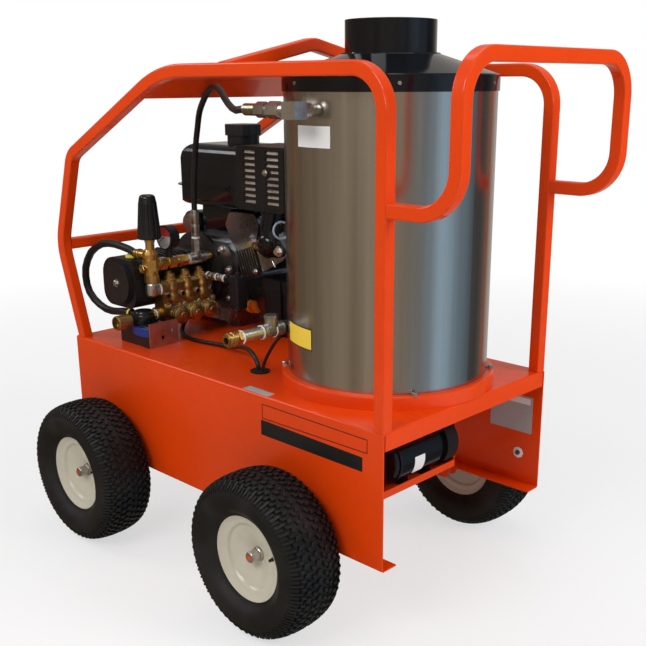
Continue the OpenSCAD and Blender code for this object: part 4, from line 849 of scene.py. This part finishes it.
sidePanelLabels(labels)
boilerPlace = Matrix.Translation(at(*boiler["foot"]))
(first, last), (low, high), line = (
    labels["yellowLabelEdge"][k] for k in ("angles", "heights", "line"))
turn = math.degrees(line / boiler["radius"])
labels["yellowLabel"].update(angles=(first + turn, last - turn),
                             heights=(low + line, high - line))
for name, finish in (("whiteLabel", whitePaper), ("yellowLabelEdge", darkStripe),
                     ("yellowLabel", yellowPaper)):
    drumPatch(name, boilerPlace, boiler["radius"], labels[name], finish)
d = labels["silverLabel"]
flatPatch("silverLabel", [(x, y, d["height"]) for x, y in d["corners"]], d["lift"],
          silverPaper)
for name, finish in (("ratingPlate", silverPaper), ("ratingStrip", whitePaper)):
    d = labels[name]
    (x0, x1), (z0, z1), y = d["x"], d["z"], d["y"]
    flatPatch(name, [(x0, y, z0), (x1, y, z0), (x1, y, z1), (x0, y, z1)], d["lift"], finish)
motorPlace = Matrix.Translation(at(*motor["axis"])) @ Matrix.Rotation(math.pi / 2, 4, "X")
drumPatch("motorSticker", motorPlace, motor["radius"], labels["motorSticker"],
          whitePaper, 10)
print("labels laid")

# bolts and screws

toRear, toLeft, toRight, toTop = (1, 0, 0), (0, 1, 0), (0, -1, 0), (0, 0, 1)


def roundDrum(radius, height, angles, way=None):
    # places on the boiler; without a way they look outwards
    return [(boiler["foot"][0] + x, y, height, way or (x, y, 0))
            for x, y in (polar(radius, a) for a in angles)]


boltSets = {
    # finish, across flats, height, washer, sides, washer's thickness, places; mm
    "ringBolts": (zinc, 10, 5, 14, 6, 1.5, roundDrum(
        boiler["ringBolts"], boiler["ringTop"], (-136, -35, 35, 136), toTop)),
    "capScrews": (zinc, 6, 2.2, 6, 16, 0.4, roundDrum(
        boiler["capScrews"], boiler["capScrewHeight"], (-165, -105, -45, 15, 75, 135))),
    "panelBolts": (coilSteel, 9, 4, 11, 6, 1.5, [(936, 256.9, 247, toRight)]),
    "pumpCoverBolt": (steel, 13.4, 4.2, 20, 6, 1.5, [(108, -208, 583, toRight)]),
    "headBolts": (zinc, 11.5, 6, 14, 6, 1.4, [
        (x, y, z, toRear) for x, y, z in (
            (206.6, -47, 530), (206.6, -91, 530), (206.6, -132, 530), (200.6, -3, 556),
            (200.6, -47, 556), (200.6, -91, 556), (200.6, -133, 556), (206.6, -4, 532))]),
    "coverBolts": (zinc, 11, 6.5, 17, 6, 1.6, [
        (x, 26.9, z, toRight) for x, z in (
            (33, 512), (29, 558), (213, 646), (237, 598), (237, 528), (185, 484),
            (65, 484))]),
    "shroudBolts": (zinc, 15, 9, 25, 6, 2.4, [
        (322, 37, 676, toRight), (408, 37, 662, toRight)]),
    "rockerBolts": (zinc, 10, 6, 15, 6, 1.5, [(323, 39, 604, toRight)]),
    "guardBolt": (zinc, 9, 5, 15, 6, 1.2, [(384, 21.6, 840, toRight)]),
}
for name, row in boltSets.items():
    bolts(name, *row)
print("fixings made")


# finishes that change along a fitting

def between(value, low, high):
    return (value > low) * (value < high)


def either(a, b):
    return a + b - a * b


edges = {  # m, where a fitting's second finish starts
    "lineBody": (-0.0562, -0.0078), "lineTop": 0.6425, "elbowTop": 0.5895,
    "oilPlug": (at(112, -184, 640.2), at(136, -160, 640.2)), "teeSide": -0.158,
    "ferrule": at(676, 0, 0).x, "plate": at(232.8, 0, 505.5), "silencer": 0.7605,
    "axleEnd": at(449.05, 354.7, 165), "axleSpread": 0.30045, "axlePaint": 0.0055,
}


def oilPlugZone(x, y, z):
    low, high = edges["oilPlug"]
    return between(x, low.x, high.x) * between(y, low.y, high.y) * (z > low.z)


def axleEndZone(x, y, z):
    # bare steel round the painted middle of each axle's end
    end = edges["axleEnd"]
    across = (x - end.x).size() - edges["axleSpread"]
    high = z - end.z
    return (y.size() > end.y) * (across * across + high * high > edges["axlePaint"] ** 2)


brassTone, zincTone = (0.72, 0.45, 0.13), (0.62, 0.61, 0.57)
twoTones = {
    # node, where the second tone shows, both tones, how metallic each is, roughness
    "lineMetal": ("outlet_line", lambda x, y, z: either(
        between(y, *edges["lineBody"]), z > edges["lineTop"]),
        brassTone, zincTone, 1.0, 1.0, 0.27),
    "unloaderMetal": ("unloader_body", lambda x, y, z: z < edges["elbowTop"],
                      brassTone, zincTone, 1.0, 1.0, 0.27),
    "teeMetal": ("outlet_tee", lambda x, y, z: y > edges["teeSide"],
                 (0.6, 0.59, 0.55), (0.03, 0.028, 0.028), 1.0, 0.2, 0.27),
    "inletMetal": ("coil_inlet", lambda x, y, z: x < edges["ferrule"],
                   (0.66, 0.65, 0.62), (0.5, 0.47, 0.34), 1.0, 1.0, 0.27),
    "crankcaseBlack": ("pump_crankcase", oilPlugZone,
                       (0.02, 0.019, 0.019), (0.75, 0.64, 0.08), 0.35, 0.0, 0.4),
    "strainerBracket": ("inlet_strainer", lambda x, y, z: (
        x > edges["plate"].x) * (z < edges["plate"].z),
        (0.01, 0.01, 0.011), (0.6, 0.56, 0.53), 0.0, 1.0, 0.3),
    "silencerSteel": ("muffler", lambda x, y, z: z > edges["silencer"],
                      (0.01, 0.0095, 0.009), (0.42, 0.39, 0.36), 0.0, 0.8, 0.4),
    "axlePaint": ("axles", axleEndZone,
                  (0.79, 0.056, 0.002), (0.6, 0.59, 0.56), 0.0, 1.0, 0.3),
}


def zonedMetal(name, zone, first, second, firstMetal, secondMetal, rough):
    f = Finish(name)
    mask = zone(*f.axes())
    spots, fine = f.wear()
    base = f.mix(mask, first, second)
    worn = f.mix(mask, shade(first, 0.6), shade(second, 0.66))
    f.set(baseColor=f.mix(spots, base, worn), roughness=rough + fine * 0.2 - 0.07,
          metallic=firstMetal + mask * (secondMetal - firstMetal))
    f.bump(fine, 0.15, 0.0004)
    return f.material


for name, (node, *tones) in twoTones.items():
    dress(node, zonedMetal(name, *tones))


# turned trims on the fittings

def turned(name, finish, start, way, steps, outline):
    # outline is [(radius, distance)] in mm along the way from the start
    bm = bmesh.new()
    place = Matrix.Translation(at(*start)) @ basis(way)
    lathe(bm, [(r / 1000, h / 1000) for r, h in outline], place, steps)
    return rideOn(finishMesh(name, bm), "chassis", finish)


tapes = {
    # start, way, radius, width; mm
    "outletTapeA": ((620, -215, 556), toLeft, 13.6, 5),
    "outletTapeB": ((620, -268, 556), toLeft, 13.4, 5),
    "outletTapeC": ((620, -182, 556), toLeft, 15.2, 4),
    "elbowTape": ((185, -148, 570), toLeft, 15.9, 5),
    "suctionTape": ((177, -156, 509), toLeft, 12.2, 5),
    "switchTapeA": ((200, -8, 586), toRear, 8.2, 4),
    "switchTapeB": ((235, -8, 586), toRear, 8.4, 3),
    "switchTapeC": ((262, -8, 586), toRear, 8.2, 4),
    "lineTapeA": ((188, -60, 630), toLeft, 10.9, 5),
    "lineTapeB": ((188, -8, 630), toLeft, 10.9, 4),
    "ferruleTape": ((190, -32, 677), toTop, 9.6, 5),
}
for name, (start, way, radius, width) in tapes.items():
    inner = radius - 1.5
    turned(name, whiteTape, start, way, 40, [
        (inner, 0), (radius, 0), (radius + 0.7, width * 0.3), (radius + 0.4, width * 0.7),
        (radius - 0.2, width), (inner, width), (inner, 0)])

fittings = {
    # finish, start, way, steps round, [(radius, distance along the way)]; mm
    "switchNipple": (zinc, (204, -8, 586), toRear, 6, [
        (6, 0), (8.4, 0.6), (8.4, 11), (7, 12), (7, 15), (9.6, 16), (10.4, 18), (10.4, 27),
        (9.6, 29), (7.2, 30), (7.2, 33), (8.6, 34), (8.6, 42), (7.4, 43), (7.4, 47),
        (9.2, 48), (9.2, 56), (6, 57)]),
    "switchFoot": (blackPlastic, (272, -8, 586), toRear, 30, [
        (6, 0), (11.4, 1), (11.8, 3), (11.8, 11), (0, 12)]),
    "linePortCollar": (brass, (188, -147, 630), toLeft, 36, [
        (10, 0), (15.4, 0.6), (16, 2), (16, 6), (14.6, 7.6), (10, 8)]),
    "bypassPortCollar": (brass, (160, -176, 655), toRear, 32, [
        (9, 0), (12, 0.6), (12.6, 2), (12.6, 6), (11.4, 7.4), (9, 8)]),
    "sidePortPlug": (brass, (187, -183, 624), toRight, 6, [
        (8.6, 0), (10.8, 0.8), (11, 2), (11, 6.6), (9.8, 8), (6, 8), (5, 6.6), (0, 6.6)]),
    "unloaderFoot": (brass, (187, -163, 589), toTop, 6, [
        (13, -1), (16.8, 0), (17.4, 2), (17.4, 16), (16.6, 18), (15.6, 19)]),
    "elbowCorner": (zinc, (187, -163, 570), toTop, 40, [
        (0, -16.4), (8, -15), (13.4, -10), (14.6, -3), (14.6, 12), (13.8, 16), (12, 18)]),
    "ferruleGrip": (zinc, (190, -32, 684), toTop, 36, [
        (9, 0), (10.2, 0.6), (10.4, 3), (9.9, 5), (9.9, 9), (10.3, 10), (10.3, 26),
        (9.9, 27), (9.9, 30), (10.3, 31), (10.3, 52), (9.7, 55), (10.2, 57), (9.4, 61.4),
        (7, 61.6)]),
    "strainerBowl": (knobPlastic, (177, -185, 494), toTop, 56, [
        (23, 0), (24.6, 1), (24.6, 6), (25.4, 7.5), (25.4, 19), (24.4, 22), (21.4, 27.6),
        (19.6, 30.4), (14, 32), (8, 32.8), (0, 33)]),
    "suctionNut": (brass, (177, -168, 509), toLeft, 6, [
        (11, 0), (14.2, 0.8), (14.8, 2.4), (14.8, 8.4), (13.8, 10), (11, 10.4)]),
    "bypassPortRing": (yellowPlastic, (129, -190, 512), toRear, 36, [
        (9.6, 0), (11.2, 0.5), (11.6, 2), (11.6, 5.4), (10.8, 6.6), (9.6, 7)]),
    "oilFillCap": (yellowPlastic, (124, -172, 641), toTop, 18, [
        (9.4, 0), (14.2, 0.4), (15.2, 1.6), (15.2, 6), (14.2, 7.4), (11, 8), (6.4, 8.2),
        (5.6, 9.2), (0, 9.4)]),
    "cableGland": (zinc, (128, 19.6, 482), toRight, 6, [
        (5.2, 0), (10.4, 0.4), (11, 1.6), (11, 6), (10, 7.2), (7.4, 7.6), (7, 12),
        (5.2, 12.4)]),
    "exhaustPort": (blackPaint, (366, 44, 676), toRight, 48, [
        (0, 24), (9, 23.4), (17, 20.6), (23.4, 15), (26.6, 8), (27.6, 0)]),
    "guardBoss": (heatBlack, (384, 22.2, 840), toRight, 32, [(13, 0), (12.6, 0.5), (0, 0.6)]),
    "sparkLead": (steel, (392, 30, 640), (0.55, 0, -0.83), 14, [
        (0, 0), (1.7, 0.2), (2, 1.2), (2, 17), (1.6, 18.4), (0, 18.6)]),
    "panelWasher": (whitePaper, (936, 258.2, 247), toRight, 8, [
        (13, 0), (13, 0.9), (12, 1.4), (0, 1.4)]),
}
for name, row in fittings.items():
    turned(name, *row)
print("fittings turned")

gauge = {
    "at": (186, -123, 689), "radius": 27.6, "back": 4, "rim": 2.1, "proud": 0.2,
    # radius over the gauge's own, and distance from its back
    "bezel": [(-1.4, 0), (0.4, 0), (0.9, 1.0), (0.9, 3.4), (0.2, 4.2), (-1.0, 4.4),
              (-1.5, 3.8), (-1.4, 0)],
    "faces": [("gaugeRed", redPaint, 8, 172), ("gaugeGrey", silverPaper, 172, 368)],
    "ticks": 21, "scale": (-45, 270), "tickEdge": 3.4, "tick": 1.8, "longTick": 3.2,
    # bars on the face: from and to in front of it, and half width
    "tickBar": (-0.6, -0.3, 0.3), "needleBar": (-1.4, -0.9, 0.6),
    "needle": 215, "needleTip": 6, "needleTail": 4,
}


def makeGauge(g):
    x, y, z = g["at"]
    r = g["radius"]
    turned("gaugeBezel", blackPaint, (x, y + g["back"], z), toRight, 56,
           [(r + d, h) for d, h in g["bezel"]])
    for name, finish, first, last in g["faces"]:
        bm = bmesh.new()
        rim = [polar(r - g["rim"], first + (last - first) * i / 24) for i in range(25)]
        bm.faces.new([bm.verts.new(at(x + u, y - g["proud"], z + v)) for u, v in rim])
        bmesh.ops.recalc_face_normals(bm, faces=bm.faces)
        ob = finishMesh(name, bm, 0, merge=False)
        if ob.data.polygons[0].normal.y > 0:
            ob.data.flip_normals()
        rideOn(ob, "chassis", finish)
    bm = bmesh.new()

    def bar(start, end, shape, degrees):
        front, back, half = shape
        boxInto(bm, Vector((start, front, -half)) / 1000, Vector((end, back, half)) / 1000,
                Matrix.Translation(at(x, y, z)) @ Matrix.Rotation(
                    math.radians(-degrees), 4, "Y"))

    end = r - g["tickEdge"]
    for i in range(g["ticks"]):
        long = g["longTick"] if i % 5 == 0 else g["tick"]
        bar(end - long, end, g["tickBar"],
            g["scale"][0] + g["scale"][1] * i / (g["ticks"] - 1))
    bar(-g["needleTail"], r - g["needleTip"], g["needleBar"], g["needle"])
    rideOn(finishMesh("gaugeMarks", bm, 0, merge=False), "chassis", darkStripe)


makeGauge(gauge)
print("gauge made")


# castings and caps of the pump's head

head = {
    "face": 199, "plungers": (-25, -69, -113), "suctionHeight": 509, "capRadius": 21.2,
    "capFoot": 196, "columnFoot": 534, "topHeight": 588, "topX": 187, "plugLift": 15.5,
}


def dressHead(h):
    r = h["capRadius"]
    rows = {
        # stepped cap over each suction valve
        "suctionCap": (h["capFoot"], 0, h["suctionHeight"], toRear, 48, [
            (0, 41.4), (7, 41.4), (8, 40.2), (14, 40), (16.4, 38.6), (17, 35.8),
            (r - 1.4, 34.6), (r, 33), (r, 29.4), (r - 1.3, 28.2), (r - 1.3, 26.4),
            (r, 25.2), (r, 21), (r - 1.5, 19.6), (r - 1.5, 17.6), (r, 16.2), (r, 11),
            (r - 2, 9), (r - 2, 1), (0, 1)]),
        # valve column with its bulge, and the stacked cap above it
        "valveColumn": (h["face"], -1, h["columnFoot"], toTop, 36, [
            (0, -4), (6, -3), (10.5, 2), (12.6, 9), (12.6, 15), (10.8, 22), (9.6, 26),
            (9.6, 30), (11, 32), (11, 37), (9.4, 40), (9.4, 55), (0, 55)]),
        "dischargeCap": (h["topX"], 0, h["topHeight"], toTop, 36, [
            (15.4, -2), (15.4, 3.4), (14.2, 4.8), (12.6, 5.2), (12.6, 7.2), (12.8, 7.2),
            (12.8, 9.4), (11.4, 10.6), (0, 10.6)]),
        "dischargePlug": (h["topX"], 0, h["topHeight"] + h["plugLift"], toTop, 24, [
            (9.4, 0), (9.4, 1.6), (7, 3.2), (6.6, 5), (0, 5.4)]),
    }
    for k, y in enumerate(h["plungers"]):
        for name, (x, shift, z, way, steps, outline) in rows.items():
            turned(name + str(k), brass, (x, y + shift, z), way, steps, outline)


dressHead(head)
print("pump dressed")

# engine trims

exhaust = {
    "start": (376, 50, 756), "centre": (366, 44, 672), "radius": 23, "flat": 0.86,
    "sink": 8, "bow": 8, "flare": 0.16, "flareFrom": 10, "steps": 14, "sides": 32,
    # flange's rounded parts: x, z, radius, first and last angle
    "flange": [(322, 676, 15, 115, 262), (366, 672, 31, 240, 300),
               (408, 662, 15, 278, 425), (366, 672, 31, 50, 120)],
    "flangeFaces": (45, 37.2),
}


def makeExhaust(e):
    # elbow that leaves the silencer and turns into the port, with its flange
    bm = bmesh.new()
    x0, y0, z0 = e["start"]
    x1, y1, z1 = e["centre"]
    rings = []
    for i in range(e["steps"] + 1):
        t = i / e["steps"]
        lean = t * t * (3 - 2 * t)
        p = Vector((x0 + (x1 - x0) * lean, y0 - e["bow"] * math.sin(math.pi * t),
                    z0 + (z1 + e["sink"] - z0) * t))
        grown = max(0, i - e["flareFrom"]) / (e["steps"] - e["flareFrom"])
        r = e["radius"] * (1.0 + e["flare"] * grown)
        ring = [polar(r, 360 * k / e["sides"]) for k in range(e["sides"])]
        rings.append([bm.verts.new(at(*(p + Vector((u, v * e["flat"], 0)))))
                      for u, v in ring])
    skin(bm, rings)
    rideOn(finishMesh("exhaustElbow", bm, 50), "chassis", blackPaint)
    bm = bmesh.new()
    outline = []
    for x, z, r, first, last in e["flange"]:
        for i in range(9):
            u, v = polar(r, first + (last - first) * i / 8)
            outline.append((x + u, z + v))
    skin(bm, [[bm.verts.new(at(x, y, z)) for x, z in outline] for y in e["flangeFaces"]])
    rideOn(finishMesh("exhaustFlange", bm, 40), "chassis", blackPaint)


makeExhaust(exhaust)
blades = {"columns": ((308, 350), (384, 428)), "foot": 769, "pitch": 14,
          "count": 9, "wall": 23.9, "depth": 3.4, "drop": 2.2, "gap": 3, "sheet": 0.7}


def makeBlades(b):
    # slats that lean inwards behind the guard's slots
    bm = bmesh.new()
    for x0, x1 in b["columns"]:
        for i in range(b["count"]):
            z = b["foot"] + i * b["pitch"]
            y0, y1 = b["wall"], b["wall"] + b["depth"]
            foot, top, thick = z - b["drop"], z + b["pitch"] - b["gap"], b["sheet"]
            section = [(y0, foot), (y0 + thick, foot), (y1, top), (y1 - thick, top)]
            skin(bm, [[bm.verts.new(at(x, y, h)) for y, h in section] for x in (x0, x1)])
    rideOn(finishMesh("louvreBlades", bm, 0), "chassis", bladeSteel)


makeBlades(blades)
cable = {"centre": (418, 36, 712), "way": (1, -0.35, 0.1), "radius": 19,
         "thickness": 2.6, "start": 60, "sweep": 250}


def makeCable(c):
    # part of a ring of wire, from the plug to the shroud
    wire = [polar(c["thickness"] / 1000, 36 * k) for k in range(11)]
    bm = bmesh.new()
    lathe(bm, [(c["radius"] / 1000 + u, v) for u, v in wire],
          Matrix.Translation(at(*c["centre"])) @ basis(c["way"]), 28, c["start"], c["sweep"])
    rideOn(finishMesh("sparkCable", bm, 60), "chassis", blueSleeve)


makeCable(cable)
# band of the strainer's bowl, proud of the bracket's wall
band = {"foot": (200, -140, 472), "start": -117, "sweep": 54,
        "outline": [(70, 0), (77, 0), (78.4, 1.4), (78.4, 19.6), (77, 21), (70, 21), (70, 0)]}
bm = bmesh.new()
lathe(bm, [(r / 1000, h / 1000) for r, h in band["outline"]],
      Matrix.Translation(at(*band["foot"])), 20, band["start"], band["sweep"])
rideOn(finishMesh("strainerBand", bm), "chassis", bluePlastic)
print("engine's trims made")


# floor and light

studio = {
    "floorColour": (0.86, 0.86, 0.86), "ambient": 0.34, "overhead": 0.22,
    "overheadFrom": (0.25, 0.8),  # how high, as a share, the walls give way to it
    "floorSize": 14, "floorFade": (1.0, 3.4), "floorWhite": (0.62, 1.0),
    "lamps": [
        # name, place, aim, width, height, power, whether metal mirrors it
        ("windowSide", (3.0, 0.75, 1.9), (0.2, 0, 0.7), 1.1, 2.2, 58, False),
        ("frontHigh", (0.5, -2.3, 2.3), (0.1, 0, 0.8), 1.6, 0.9, 33, True),
        ("leftHigh", (-2.4, -1.6, 2.4), (0, 0, 0.6), 1.2, 1.2, 22, True),
        ("topSoft", (0.1, 0.3, 3.0), (0, 0, 0), 2.0, 1.4, 15, True),
    ],
    # the room that metal mirrors: heading in degrees from the handle end, level, warmth
    "walls": [(-180, 0.1, 0.4), (-148, 0.13, 0.35), (-122, 0.19, 0.3), (-97, 0.26, 0.28),
              (-85, 0.18, 0.3), (-70, 0.31, 0.25), (-46, 0.3, 0.25), (-34, 0.25, 0.2),
              (-21, 0.31, 0), (-9, 0.2, -0.1), (4, 0.52, -0.25), (17, 0.58, -0.3),
              (30, 0.33, -0.25), (42, 0.3, -0.3), (54, 0.07, 0), (67, 0.05, 0),
              (80, 0.14, 0.2), (104, 0.5, 0.1), (135, 0.45, 0.1), (160, 0.12, 0.3),
              (180, 0.1, 0.4)],
}


def makeWorld(s):
    world = bpy.data.worlds.new("studio")
    bpy.context.scene.world = world
    world.use_nodes = True
    w = Tree(world.node_tree)
    x, y, z = w.axes(w.node("ShaderNodeTexCoord", output="Generated"))
    turn = w.sum("ARCTAN2", y, x)
    stops = [(heading / 360 + 0.5, (level * (1 + warmth), level, level * (1 - warmth)))
             for heading, level, warmth in s["walls"]]
    walls = w.node("ShaderNodeValToRGB", {"stops": stops}, {0: turn / (2 * math.pi) + 0.5})
    room = w.mix(w.fit(z, *s["overheadFrom"]), walls, (s["overhead"],) * 3)
    white = (1, 1, 1)
    soft, mirrored, seen = (
        w.node("ShaderNodeBackground", {}, {"Color": colour, "Strength": level})
        for colour, level in ((white, s["ambient"]), (room, 1.0), (white, 1.0)))
    mirror = w.sum("MAXIMUM", w.ray("Glossy"), w.ray("Transmission"))
    sky = w.blend(w.ray("Camera"), w.blend(mirror, soft, mirrored), seen)
    w.plug(w.nodeTree.nodes["World Output"].inputs["Surface"], sky)


def makeStage(s):
    bm = bmesh.new()
    bmesh.ops.create_grid(bm, x_segments=1, y_segments=1, size=s["floorSize"])
    floor = finishMesh("floor", bm, 0, merge=False)
    f = Finish("floorPaint", roughness=0.8, specularIORLevel=0.1, baseColor=s["floorColour"])
    x, y, z = f.axes()
    far = f.fit(f.sum("SQRT", x * x + y * y), *s["floorFade"], *s["floorWhite"])
    pale = f.node("ShaderNodeEmission", {}, {"Strength": 1.0})
    clear = f.node("ShaderNodeBsdfTransparent")
    # metal looks through the floor at the room
    mirror = f.sum("MAXIMUM", f.ray("Glossy"), f.ray("Transmission"))
    lit = Wire(f, f.shader.outputs[0])
    seen = f.blend(mirror, f.blend(f.ray("Camera") * far, lit, pale), clear)
    f.plug(f.nodeTree.nodes["Material Output"].inputs["Surface"], seen)
    floor.data.materials.append(f.material)
    for name, place, aim, wide, high, power, mirrored in s["lamps"]:
        lamp = bpy.data.lights.new(name, "AREA")
        lamp.shape, lamp.size, lamp.size_y, lamp.energy = "RECTANGLE", wide, high, power
        ob = newObject(name, lamp)
        ob.location = place
        ob.visible_glossy = mirrored
        ob.rotation_mode = "QUATERNION"
        ob.rotation_quaternion = (Vector(aim) - Vector(place)).to_track_quat("-Z", "Y")


makeWorld(studio)
makeStage(studio)
bpy.context.scene.view_settings.view_transform = "Standard"

print("scene done")
